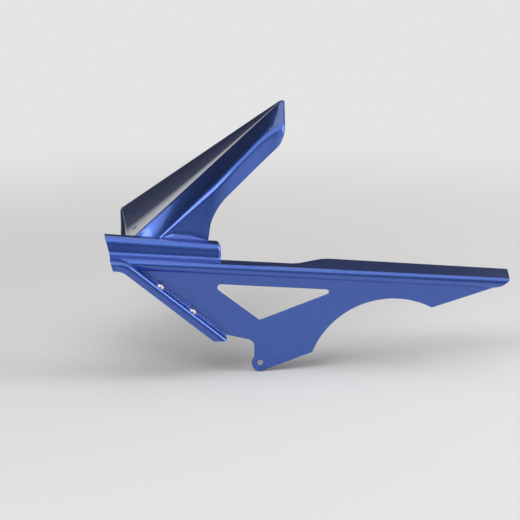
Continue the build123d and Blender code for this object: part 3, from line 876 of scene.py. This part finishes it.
def fill(loops):
    """Triangles between an outline and its convex holes, as numbers of their points."""
    points, edges, owner = [], [], []
    for number, loop in enumerate(loops):
        first, last = len(points), len(points) + len(loop) - 1
        points += [Vector(p) for p in loop]
        edges += [(last, first), *((i, i + 1) for i in range(first, last))]
        owner += [number] * len(loop)
    made = delaunay_2d_cdt(points, edges, [], INSIDE_OUTLINE, FILL_TOLERANCE)
    faces = [[made[3][corner][0] for corner in face] for face in made[2]]
    in_hole = [owner[a] == owner[b] == owner[c] > 0 for a, b, c in faces]
    return [face for face, hole in zip(faces, in_hole) if not hole]


def plate(name, outline, holes):
    """Flat wall with rounded rims, drawn as rings from the front face round to the back."""
    loops = [turned(outline, 1), *(turned(hole, -1) for hole in holes)]
    turns = np.linspace(0, pi / 2, RIM_STEPS)
    front = [(EDGE_ROUND * (1 - sin(a)), EDGE_ROUND * (1 - cos(a))) for a in turns]
    rings = [*front, *((share, WALL - depth) for share, depth in front[::-1])]
    drawn = [[inset(loop, share) for loop in loops] for share, _ in rings]
    points = [(x, depth, z) for (_, depth), ring in zip(rings, drawn) for loop in ring for x, z in loop]
    lengths = [len(loop) for loop in loops]
    count = sum(lengths)
    first = np.repeat(np.cumsum([0, *lengths[:-1]]), lengths)
    here = np.arange(count)
    after = first + (here - first + 1) % np.repeat(lengths, lengths)
    band = np.stack((here, after, after + count, here + count), axis=1)
    sides = np.concatenate([band + count * k for k in range(len(rings) - 1)])
    cap = np.array(fill(drawn[0]))
    faces = [*sides.tolist(), *cap.tolist(), *(cap[:, ::-1] + len(points) - count).tolist()]
    return trimmed(mesh_object(name, points, [], faces))


def flat_sides(piece):
    """Shades a flat wall's two sides flat, rounds the shading of its rims and marks the inner side."""
    facing = [p.normal.y for p in piece.data.polygons]
    piece.data.polygons.foreach_set("use_smooth", [abs(y) < FLAT for y in facing])
    inside = piece.data.attributes.new("inside", "FLOAT", "FACE")
    inside.data.foreach_set("value", [float(y > FLAT) for y in facing])
    return piece


lug_hole = arc_points(0, 0, LUG_HOLE_RADIUS, 0, 2 * pi, HOLE_RIM_POINTS)[:-1]
panel = flat_sides(plate("panel", panel_outline(), [window_outline(), lug_hole]))
print("panel", len(panel.data.polygons), "faces")

# %% [markdown]
# ## The ledge, with Geometry Nodes
# The ledge is one section that follows a path: along the flange's front, round a bend and down the slope.
# That is what Curve to Mesh is for. The tree takes the path as a few points, rounds the bend with Fillet
# Curve and sweeps the section along it. The bend's radius is a named input, so it can be changed without
# touching the tree. A small rib at the panel's foot is swept by the same tree, with a section of its own.

# %% Ledge section and path
LEDGE_WIDTH = 19.0
LEDGE_RADIUS = 5.0
LEDGE_BEND_RADIUS = 30.0
RIM_DEPTH = 11.0
RIM_FOOT_Z = 32.2
RIM_FOOT_ROUND = 0.8
RIB_WIDTH = 1.6
RIB_START = 10.0
RIB_EDGE_ROUND = 0.9
RIB_COVE = 1.2
RIB_BEND_POINTS = 7
LEDGE_INNER_ROUND = 2.0
LEDGE_POINTS = 12
LEDGE_INNER_POINTS = 5
RIM_FOOT_POINTS = 4
PATH_PAST_FRONT = 12.0
PATH_PAST_END = 14.0


def line_object(name, points, closed):
    """Mesh of edges only, for a path or a section."""
    count = len(points)
    edges = [(i, (i + 1) % count) for i in range(count if closed else count - 1)]
    return mesh_object(name, points, edges, [])


def ledge_section():
    """Closed section of the ledge: (across, up)."""
    lip = -LEDGE_WIDTH
    back = WALL - LEDGE_WIDTH
    turns = np.linspace(pi / 2, 0, LEDGE_POINTS)
    outer = [(lip + LEDGE_RADIUS * (1 - cos(a)), LEDGE_RADIUS * (sin(a) - 1)) for a in turns]
    low_front, low_back = (lip, -RIM_DEPTH), (back, -RIM_DEPTH)
    foot = corner_arc((lip, 0), low_front, low_back, RIM_FOOT_ROUND, RIM_FOOT_POINTS)
    foot_back = corner_arc(low_front, low_back, (back, 0), RIM_FOOT_ROUND, RIM_FOOT_POINTS)
    inner = corner_arc(low_back, (back, -WALL), (0, -WALL), LEDGE_INNER_ROUND, LEDGE_INNER_POINTS)
    rounds = [tuple(p) for p in (*outer, *foot, *foot_back, *inner)]
    return [(WALL / 2, 0.0), *rounds, (WALL / 2, -WALL)]


def rib_section():
    """Closed section of the step at the panel's foot: a rounded edge above a small cove."""
    top, root = (-RIB_WIDTH, RIB_HEIGHT), (-RIB_WIDTH, 0)
    edge = corner_arc((0, RIB_HEIGHT), top, root, RIB_EDGE_ROUND, RIB_BEND_POINTS)
    cove = corner_arc(top, root, (-LEDGE_WIDTH, 0), RIB_COVE, RIB_BEND_POINTS)
    rounds = [tuple(p) for p in (*edge, *cove)]
    return [(WALL / 2, RIB_HEIGHT), *rounds, (rounds[-1][0], -WALL / 2), (WALL / 2, -WALL / 2)]


path_start_x = GUARD_FRONT_X - PATH_PAST_FRONT
path_end_x = LEDGE_END_X + PATH_PAST_END
ledge_path = [
    (path_start_x, 0, flange_z(path_start_x)),
    (ledge_corner_x, 0, ledge_z(ledge_corner_x)),
    (path_end_x, 0, ledge_z(path_end_x)),
]
ledge = line_object("ledge", ledge_path, False)
rib_start_x = ledge_corner_x + RIB_START
ledge_rib = line_object("ledge_rib", [(rib_start_x, 0, ledge_z(rib_start_x)), ledge_path[2]], False)
ledge_profile = line_object("ledge_profile", [(y, up, 0) for y, up in ledge_section()], True)
rib_profile = line_object("rib_profile", [(y, up, 0) for y, up in rib_section()], True)
print("ledge section has", len(ledge_profile.data.vertices), "points")


# %% Helpers for node trees
def new_tree(name):
    """Empty tree for a modifier, with its output."""
    tree = bpy.data.node_groups.new(name, "GeometryNodeTree")
    tree.interface.new_socket("Geometry", in_out="OUTPUT", socket_type="NodeSocketGeometry")
    return tree


def add_input(tree, name, kind):
    """Named input of a tree. Its identifier is what a modifier is set by."""
    return tree.interface.new_socket(name, in_out="INPUT", socket_type=kind).identifier


def node(tree, kind, **settings):
    """Node in a tree, with its settings."""
    made = tree.nodes.new(kind)
    for setting, value in settings.items():
        setattr(made, setting, value)
    return made


def link_in_turn(tree, *nodes):
    """Links the first output of each node to the first input of the next."""
    for first, second in zip(nodes, nodes[1:]):
        tree.links.new(first.outputs[0], second.inputs[0])


def run_tree(piece, tree, values):
    """Runs a node tree on a piece and keeps the result as a plain mesh."""
    work = piece.modifiers.new("nodes", "NODES")
    work.node_group = tree
    for identifier, value in values.items():
        work[identifier] = value
    return baked(piece)


def tree_ends(tree):
    """The nodes that every tree here starts and ends with. What is made goes into the second one."""
    kinds = ("NodeGroupInput", "GeometryNodeRealizeInstances", "GeometryNodeSetMaterial", "NodeGroupOutput")
    given, realized, finished, result = (node(tree, kind) for kind in kinds)
    link_in_turn(tree, realized, finished, result)
    tree.links.new(given.outputs["Finish"], finished.inputs["Material"])
    return given, realized


def shape_of(tree, socket):
    """Geometry of the object that is set on an input."""
    info = node(tree, "GeometryNodeObjectInfo")
    tree.links.new(socket, info.inputs["Object"])
    return info.outputs["Geometry"]


print("helpers for node trees ready")

# %% Node tree that sweeps a section along a bent path
sweep_tree = new_tree("sweep along a bent path")
add_input(sweep_tree, "Path", "NodeSocketGeometry")
section_in = add_input(sweep_tree, "Section", "NodeSocketObject")
bend_in = add_input(sweep_tree, "Bend radius", "NodeSocketFloat")
steps_in = add_input(sweep_tree, "Bend steps", "NodeSocketInt")
finish_in = add_input(sweep_tree, "Finish", "NodeSocketMaterial")
given, realized = tree_ends(sweep_tree)
path_curve = node(sweep_tree, "GeometryNodeMeshToCurve")
bend_path = node(sweep_tree, "GeometryNodeFilletCurve", mode="POLY")
upright = node(sweep_tree, "GeometryNodeSetCurveNormal", mode="FREE")
upright.inputs["Normal"].default_value = (0, 1, 0)
along_path = node(sweep_tree, "GeometryNodeCurveToMesh")
along_path.inputs["Fill Caps"].default_value = True
section_curve = node(sweep_tree, "GeometryNodeMeshToCurve")
link_in_turn(sweep_tree, given, path_curve, bend_path, upright, along_path, realized)
sweep_tree.links.new(shape_of(sweep_tree, given.outputs["Section"]), section_curve.inputs["Mesh"])
sweep_tree.links.new(section_curve.outputs["Curve"], along_path.inputs["Profile Curve"])
sweep_tree.links.new(given.outputs["Bend radius"], bend_path.inputs["Radius"])
sweep_tree.links.new(given.outputs["Bend steps"], bend_path.inputs["Count"])
print("sweep tree has", len(sweep_tree.nodes), "nodes")

# %% [markdown]
# ## Paint and steel
# The paint is a dark blue metallic under clear lacquer. Fine flakes shift its colour a little, the lacquer
# has the slight waviness of sprayed paint, and the inner side only got a thin dull coat. The screws are
# bright steel. An image could be painted for each, but noise needs no unwrapping and stays sharp close up.
# Both finishes need the same fine unevenness, so it is a node group, placed in each material with its own
# values.

# %% Shared effects
NOISE_DETAIL = 2.0


def shader_group(name, inputs, outputs):
    """Empty group with named inputs and outputs, and the nodes that stand for them."""
    group = bpy.data.node_groups.new(name, "ShaderNodeTree")
    for way, sockets in (("INPUT", inputs), ("OUTPUT", outputs)):
        for label, kind in sockets:
            group.interface.new_socket(label, in_out=way, socket_type=kind)
    return group, node(group, "NodeGroupInput"), node(group, "NodeGroupOutput")


def unevenness_group():
    """Fine waves and patches of a finished surface."""
    inputs = (
        ("Vector", "NodeSocketVector"),
        ("Wave scale", "NodeSocketFloat"),
        ("Patch scale", "NodeSocketFloat"),
    )
    outputs = (("Wave", "NodeSocketFloat"), ("Patch", "NodeSocketFloat"))
    group, given, result = shader_group("fine unevenness", inputs, outputs)
    for label, _ in outputs:
        noise = node(group, "ShaderNodeTexNoise")
        noise.inputs["Detail"].default_value = NOISE_DETAIL
        group.links.new(given.outputs["Vector"], noise.inputs["Vector"])
        group.links.new(given.outputs[label + " scale"], noise.inputs["Scale"])
        group.links.new(noise.outputs["Fac"], result.inputs[label])
    return group


def flake_group():
    """Random value for each metal flake in the paint."""
    inputs = (("Vector", "NodeSocketVector"), ("Scale", "NodeSocketFloat"))
    group, given, result = shader_group("metal flakes", inputs, (("Flake", "NodeSocketFloat"),))
    cells = node(group, "ShaderNodeTexVoronoi")
    split = node(group, "ShaderNodeSeparateColor")
    group.links.new(given.outputs["Vector"], cells.inputs["Vector"])
    group.links.new(given.outputs["Scale"], cells.inputs["Scale"])
    group.links.new(cells.outputs["Color"], split.inputs["Color"])
    group.links.new(split.outputs["Red"], result.inputs["Flake"])
    return group


unevenness = unevenness_group()
flakes = flake_group()
print("groups", unevenness.name, "and", flakes.name)


# %% Helpers for materials
def new_material(name):
    """Material with its shader and its coordinates."""
    material = bpy.data.materials.new(name)
    material.use_nodes = True
    tree = material.node_tree
    return material, tree, tree.nodes["Principled BSDF"], node(tree, "ShaderNodeTexCoord")


def placed(tree, group, coords, **values):
    """Group in a material, on the piece's own coordinates and with its own values."""
    made = node(tree, "ShaderNodeGroup", node_tree=group)
    tree.links.new(coords.outputs["Object"], made.inputs["Vector"])
    for label, value in values.items():
        made.inputs[label.replace("_", " ")].default_value = value
    return made


def spread(tree, source, low, high):
    """Value from 0 to 1 mapped to a range."""
    made = node(tree, "ShaderNodeMapRange")
    made.inputs["To Min"].default_value = low
    made.inputs["To Max"].default_value = high
    tree.links.new(source, made.inputs["Value"])
    return made.outputs["Result"]


def blend_colour(tree, factor, first, second):
    """Two colours mixed by a factor. Each is a constant or comes from another node."""
    made = node(tree, "ShaderNodeMix", data_type="RGBA")
    tree.links.new(factor, made.inputs["Factor"])
    for socket, value in ((made.inputs[6], first), (made.inputs[7], second)):
        if isinstance(value, tuple):
            socket.default_value = (*value, 1.0)
        else:
            tree.links.new(value, socket)
    return made.outputs[2]


def blend_value(tree, factor, first, second):
    """Two values mixed by a factor. Each is a constant or comes from another node."""
    made = node(tree, "ShaderNodeMix")
    tree.links.new(factor, made.inputs["Factor"])
    for socket, value in ((made.inputs[2], first), (made.inputs[3], second)):
        if isinstance(value, float):
            socket.default_value = value
        else:
            tree.links.new(value, socket)
    return made.outputs[0]


def bumped(tree, height, strength, distance):
    """Normal that follows a height, with the height's size in millimetres."""
    made = node(tree, "ShaderNodeBump")
    made.inputs["Strength"].default_value = strength
    made.inputs["Distance"].default_value = distance * MM
    tree.links.new(height, made.inputs["Height"])
    return made.outputs["Normal"]


print("helpers for materials ready")

# %% Blue paint
BLUE_DEEP = (0.043, 0.102, 0.43)
BLUE_BRIGHT = (0.062, 0.146, 0.56)
INSIDE_BLUE = (0.012, 0.016, 0.050)
PAINT_ROUGHNESS = (0.32, 0.40)
INSIDE_ROUGHNESS = (0.5, 0.62)
PAINT_METALLIC = 0.95
LACQUER_ROUGHNESS = 0.03
LACQUER_IOR = 1.5


def paint_material():
    """Metallic paint and lacquer outside, a dull coat where the piece is marked as inside."""
    material, tree, shader, coords = new_material("blue_metallic_paint")
    fine = placed(tree, unevenness, coords, Wave_scale=260.0, Patch_scale=14.0)
    flake = placed(tree, flakes, coords, Scale=1600.0).outputs["Flake"]
    inner = node(tree, "ShaderNodeAttribute", attribute_name="inside").outputs["Fac"]
    colour = blend_colour(tree, flake, BLUE_DEEP, BLUE_BRIGHT)
    rough = spread(tree, flake, *PAINT_ROUGHNESS)
    dull = spread(tree, fine.outputs["Patch"], *INSIDE_ROUGHNESS)
    finishes = {
        "Base Color": blend_colour(tree, inner, colour, INSIDE_BLUE),
        "Roughness": blend_value(tree, inner, rough, dull),
        "Metallic": blend_value(tree, inner, PAINT_METALLIC, 0.0),
        "Coat Weight": blend_value(tree, inner, 1.0, 0.0),
        "Normal": bumped(tree, fine.outputs["Wave"], strength=0.15, distance=0.05),
    }
    for label, source in finishes.items():
        tree.links.new(source, shader.inputs[label])
    shader.inputs["Coat Roughness"].default_value = LACQUER_ROUGHNESS
    shader.inputs["Coat IOR"].default_value = LACQUER_IOR
    return material


paint = paint_material()
print(paint.name, len(paint.node_tree.nodes), "nodes")


# %% Screw steel
STEEL_TONES = ((0.58, 0.58, 0.60), (0.78, 0.78, 0.79))
STEEL_ROUGHNESS = (0.18, 0.36)


def steel_material():
    """Bright steel with the fine marks of a turned part."""
    material, tree, shader, coords = new_material("bright_screw_steel")
    fine = placed(tree, unevenness, coords, Wave_scale=2600.0, Patch_scale=220.0)
    tone = blend_colour(tree, fine.outputs["Patch"], *STEEL_TONES)
    tree.links.new(tone, shader.inputs["Base Color"])
    shader.inputs["Metallic"].default_value = 1.0
    tree.links.new(spread(tree, fine.outputs["Wave"], *STEEL_ROUGHNESS), shader.inputs["Roughness"])
    tree.links.new(bumped(tree, fine.outputs["Wave"], strength=0.2, distance=0.02), shader.inputs["Normal"])
    return material


steel = steel_material()
print(steel.name, len(steel.node_tree.nodes), "nodes")

# %% [markdown]
# With the paint made, the tree can sweep the ledge and its rib. The path goes on past both ends of the
# ledge and planes cut it back. The path could stop there instead, but the ends are slanted, and a plane
# cuts any slant exactly.

# %% Sweep the ledge and cut its ends
LEDGE_EDGE_ROUND = 0.5
LEDGE_BEND_STEPS = 10
rake = (-cos(GUARD_FRONT_RAKE), 0, -sin(GUARD_FRONT_RAKE))
front_cut = ((GUARD_FRONT_X, 0, flange_z(GUARD_FRONT_X)), rake)
end_cut = ((LEDGE_END_X, 0, 0), (1, 0, 0))
foot_cut = ((0, 0, RIM_FOOT_Z), (0, 0, -1))
sweep_values = {bend_in: LEDGE_BEND_RADIUS * MM, steps_in: LEDGE_BEND_STEPS, finish_in: paint}
run_tree(ledge, sweep_tree, {**sweep_values, section_in: ledge_profile})
run_tree(ledge_rib, sweep_tree, {**sweep_values, section_in: rib_profile})
trimmed(ledge, (front_cut, end_cut, foot_cut))
trimmed(ledge_rib, (end_cut,))
for swept in (ledge, ledge_rib):
    swept.data.attributes.new("inside", "FLOAT", "FACE")
    round_rims(swept, LEDGE_EDGE_ROUND)
for section in (ledge_profile, rib_profile):
    bpy.data.objects.remove(section)
print("ledge", len(ledge.data.polygons), "faces")

# %% [markdown]
# ## One moulding
# The sheets overlap inside their walls, so together they read as one moulding. A Boolean union would merge
# them too, but it cuts up the clean grids. So they are joined into a single piece, which stands for the CAD
# shell and takes its place in the frame.

# %% Join the moulding
def joined(name, parts):
    """One object from several, with their attributes kept."""
    with bpy.context.temp_override(active_object=parts[0], selected_editable_objects=parts, object=parts[0]):
        bpy.ops.object.join()
    parts[0].name = name
    parts[0].data.name = name
    return parts[0]


moulding = joined("hugger_moulding", [tongue, tunnel, flange, panel, ledge, ledge_rib])
moulding.data.materials.clear()
moulding.data.materials.append(paint)
moulding.data.polygons.foreach_set("material_index", [0] * len(moulding.data.polygons))
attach(moulding, "root")
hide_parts("hugger_shell")
print(moulding.name, len(moulding.data.polygons), "faces")

# %% [markdown]
# ## The ledge screws, with Geometry Nodes
# Two button-head screws hold the ledge down. A screw is a turned part, so its outline is spun round its
# axis, with a hexagonal socket in the head and a rolled thread below it. The tree then places one copy on
# each point, which is also how a row of ten would be made.

# %% One screw
SCREW_X = (-115.8, -78.8)
SCREW_Y = -8.7
SCREW_RADIUS = 3.0
SCREW_LENGTH = 12.0
SCREW_PITCH = 1.0
THREAD_DEPTH = 0.55
HEAD_RADIUS = 5.25
HEAD_HEIGHT = 3.3
HEAD_RIM = 0.7
CROWN_RADIUS = 2.7
SOCKET_FLATS = 4.0
SOCKET_DEPTH = 2.0
SOCKET_CONE = 0.4
SOCKET_TAPER = 0.97
EDGE_BREAK = 0.15
DOME_STEPS = 9
PLAIN_SHANK = 1.5
THREAD_START = 1.7
THREAD_STEP = 0.175
SHANK_CHAMFER = 0.5
SPIN_STEPS = 48
SCREW_SHARP = radians(38)


def hexagon(angle, flats):
    """Distance from the axis to a hexagon's side in a direction."""
    return flats / 2 / cos((angle + pi / 6) % (pi / 3) - pi / 6)


def screw_rows(angle):
    """Outline of the screw in one direction, from socket to shank's end: (radius, height)."""
    side = hexagon(angle, SOCKET_FLATS)
    socket_z = HEAD_HEIGHT - SOCKET_DEPTH
    socket = [(0.0, socket_z - SOCKET_CONE), (side * SOCKET_TAPER, socket_z)]
    mouth = [(side, HEAD_HEIGHT - EDGE_BREAK), (side + EDGE_BREAK, HEAD_HEIGHT), (CROWN_RADIUS, HEAD_HEIGHT)]
    dome = []
    for t in np.linspace(0, 1, DOME_STEPS + 1)[1:]:
        r = CROWN_RADIUS + (HEAD_RADIUS - CROWN_RADIUS) * sin(t * pi / 2)
        dome.append((r, HEAD_RIM + (HEAD_HEIGHT - HEAD_RIM) * cos(t * pi / 2)))
    seat = [(HEAD_RADIUS, EDGE_BREAK), (HEAD_RADIUS - EDGE_BREAK, 0.0)]
    shank = [(SCREW_RADIUS, 0.0), (SCREW_RADIUS, -PLAIN_SHANK)]
    thread = []
    for depth in np.arange(THREAD_START, SCREW_LENGTH - SHANK_CHAMFER, THREAD_STEP):
        turn = (depth / SCREW_PITCH + angle / (2 * pi)) % 1
        thread.append((SCREW_RADIUS - THREAD_DEPTH * abs(2 * turn - 1), -depth))
    end = [(SCREW_RADIUS - SHANK_CHAMFER, -SCREW_LENGTH), (0.0, -SCREW_LENGTH)]
    return [*socket, *mouth, *dome, *seat, *shank, *thread, *end]


angles = np.linspace(0, 2 * pi, SPIN_STEPS + 1)
turned_rows = [[(r * cos(a), r * sin(a), z) for r, z in screw_rows(a)] for a in angles]
screw = sheet("screw", np.array(turned_rows).transpose(1, 0, 2))
trimmed(screw)
screw.data.shade_smooth()
screw.data.set_sharp_from_angle(angle=SCREW_SHARP)
print("screw", len(screw.data.polygons), "faces")

# %% A screw on each seat
screw_tree = new_tree("screw on each seat")
add_input(screw_tree, "Seats", "NodeSocketGeometry")
screw_in = add_input(screw_tree, "Screw", "NodeSocketObject")
lean_in = add_input(screw_tree, "Lean", "NodeSocketFloat")
steel_in = add_input(screw_tree, "Finish", "NodeSocketMaterial")
given, realized = tree_ends(screw_tree)
copies = node(screw_tree, "GeometryNodeInstanceOnPoints")
lean = node(screw_tree, "ShaderNodeCombineXYZ")
link_in_turn(screw_tree, given, copies, realized)
screw_tree.links.new(shape_of(screw_tree, given.outputs["Screw"]), copies.inputs["Instance"])
screw_tree.links.new(given.outputs["Lean"], lean.inputs["Y"])
screw_tree.links.new(lean.outputs["Vector"], copies.inputs["Rotation"])
seats = line_object("hugger_ledge_screws", [(x, SCREW_Y, ledge_z(x)) for x in SCREW_X], False)
run_tree(seats, screw_tree, {screw_in: screw, lean_in: LEDGE_SLOPE, steel_in: steel})
bpy.data.objects.remove(screw)
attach(seats, "root")
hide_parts("ledge_screws")
print(seats.name, len(seats.data.polygons), "faces")

# %% [markdown]
# ## Studio
# The part stands on its lug above a pale floor. Glossy paint mostly shows what is around it, so an image of
# a real room could light it. A drawn room is easier to steer: a floor that is evenly bright far away, a
# light band at the horizon behind the part, a darker room above it and a pale wall on the right. Four large
# lamps at low power then give soft highlights: from above, from the front left for the shoulder, from the
# right for the ledge, and a weak one behind for the tail edge.

# %% Floor
FLOOR_Z = -10.5
FLOOR_REACH = 14000.0
FLOOR_TONES = ((0.70, 0.70, 0.70), (0.74, 0.74, 0.74))
FLOOR_ROUGHNESS = 0.8
FLOOR_SHINE = 0.1
GLOW_FRONT, GLOW_BACK = (0.22, 0.22, 0.22), (0.78, 0.78, 0.78)
# Distances on the floor in metres
EVEN_FROM, EVEN_TO = 0.4, 1.5
GLOW_FROM_Y, GLOW_TO_Y = -4.0, -0.8


def smooth_share(tree, source, low, high):
    """Share from 0 to 1 of a value between two bounds, with soft ends."""
    made = node(tree, "ShaderNodeMapRange", interpolation_type="SMOOTHSTEP")
    made.inputs["From Min"].default_value = low
    made.inputs["From Max"].default_value = high
    tree.links.new(source, made.inputs["Value"])
    return made.outputs["Result"]


def combined(tree, operation, first, second):
    """Two values put together by a Math node."""
    made = node(tree, "ShaderNodeMath", operation=operation)
    tree.links.new(first, made.inputs[0])
    tree.links.new(second, made.inputs[1])
    return made.outputs["Value"]


def floor_material():
    """Pale floor that keeps the shadow near the part and is evenly lit far away."""
    material, tree, shader, coords = new_material("pale_floor")
    fine = placed(tree, unevenness, coords, Wave_scale=90.0, Patch_scale=0.6)
    tree.links.new(blend_colour(tree, fine.outputs["Patch"], *FLOOR_TONES), shader.inputs["Base Color"])
    shader.inputs["Roughness"].default_value = FLOOR_ROUGHNESS
    shader.inputs["Specular IOR Level"].default_value = FLOOR_SHINE
    away = node(tree, "ShaderNodeVectorMath", operation="LENGTH")
    tree.links.new(coords.outputs["Object"], away.inputs[0])
    spot = node(tree, "ShaderNodeSeparateXYZ")
    tree.links.new(coords.outputs["Object"], spot.inputs["Vector"])
    rays = node(tree, "ShaderNodeLightPath").outputs
    seen = combined(tree, "MAXIMUM", rays["Is Camera Ray"], rays["Is Glossy Ray"])
    seen = combined(tree, "MAXIMUM", seen, rays["Is Transmission Ray"])
    far = smooth_share(tree, away.outputs["Value"], EVEN_FROM, EVEN_TO)
    behind = smooth_share(tree, spot.outputs["Y"], GLOW_FROM_Y, GLOW_TO_Y)
    glow = node(tree, "ShaderNodeEmission")
    tree.links.new(blend_colour(tree, behind, GLOW_FRONT, GLOW_BACK), glow.inputs["Color"])
    both = node(tree, "ShaderNodeMixShader")
    tree.links.new(combined(tree, "MULTIPLY", seen, far), both.inputs["Fac"])
    tree.links.new(shader.outputs["BSDF"], both.inputs[1])
    tree.links.new(glow.outputs["Emission"], both.inputs[2])
    tree.links.new(both.outputs["Shader"], tree.nodes["Material Output"].inputs["Surface"])
    return material


sides = (-FLOOR_REACH, FLOOR_REACH)
corners = np.array([[(x, y, FLOOR_Z) for x in sides] for y in sides])
floor = flip_to(sheet("floor", corners), (0, 0, 1))
floor.data.materials.append(floor_material())
print("floor at", FLOOR_Z, "mm")

# %% Room
# Height above the horizon, and brightness there
FRONT_LEVELS = ((0.0, 0.1), (0.12, 0.1), (0.35, 0.25), (0.6, 0.2), (1.0, 0.12))
BACK_LEVELS = ((0.0, 0.8), (0.03, 0.6), (0.06, 0.05), (0.5, 0.03), (1.0, 0.12))
RIGHT_LEVELS = ((0.0, 0.75), (0.3, 0.7), (0.5, 0.4), (0.7, 0.2), (1.0, 0.12))
# Where one wall passes into the next
FRONT_CORNER = (0.4, 0.8)
BACK_CORNER = (0.2, 0.4)
SIDE_WALL = (-0.35, 0.25)

world = bpy.data.worlds.new("room")
bpy.context.scene.world = world
world.use_nodes = True
room = world.node_tree
direction = node(room, "ShaderNodeTexCoord")
parts = node(room, "ShaderNodeSeparateXYZ")
room.links.new(direction.outputs["Generated"], parts.inputs["Vector"])


def wall(levels):
    """Brightness of one side of the room by height above the horizon."""
    ramp = node(room, "ShaderNodeValToRGB")
    room.links.new(parts.outputs["Z"], ramp.inputs["Fac"])
    while len(ramp.color_ramp.elements) < len(levels):
        ramp.color_ramp.elements.new(0.5)
    for stop, (height, level) in zip(ramp.color_ramp.elements, levels):
        stop.position = height
        stop.color = (level, level, level, 1.0)
    return ramp.outputs["Color"]


front_wall, back_wall, right_wall = (wall(levels) for levels in (FRONT_LEVELS, BACK_LEVELS, RIGHT_LEVELS))
right_in_front = smooth_share(room, parts.outputs["X"], *FRONT_CORNER)
front_walls = blend_colour(room, right_in_front, front_wall, right_wall)
right_behind = smooth_share(room, parts.outputs["X"], *BACK_CORNER)
back_walls = blend_colour(room, right_behind, back_wall, right_wall)
walls = blend_colour(room, smooth_share(room, parts.outputs["Y"], *SIDE_WALL), front_walls, back_walls)
room.links.new(walls, room.nodes["Background"].inputs["Color"])
print("room has", len(room.nodes), "nodes")


# %% Lamps
# Name, place, target and size in metres, and power in watts
LAMPS = (
    ("overhead", (0.5, -0.3, 2.6), (0.3, 0.0, 0.0), (4.2, 3.2), 42.0),
    ("front_left", (-0.95, -1.35, 1.62), (-0.03, 0.05, 0.18), (1.8, 1.1), 22.0),
    ("right", (1.6, -0.1, 0.95), (-0.05, 0.0, 0.12), (0.8, 1.3), 14.0),
    ("back", (-0.05, 1.45, 1.95), (0.03, 0.1, 0.27), (1.2, 0.8), 3.0),
)


def soft_lamp(name, location, target, size, power):
    """Large lamp that points at a place."""
    data = bpy.data.lights.new(name, "AREA")
    data.shape = "RECTANGLE"
    data.size, data.size_y = size
    data.energy = power
    lamp = bpy.data.objects.new(name, data)
    lamp.location = location
    lamp.rotation_euler = (Vector(location) - Vector(target)).to_track_quat("Z", "Y").to_euler()
    bpy.context.scene.collection.objects.link(lamp)


for lamp in LAMPS:
    soft_lamp(*lamp)
bpy.context.scene.view_settings.view_transform = "Standard"
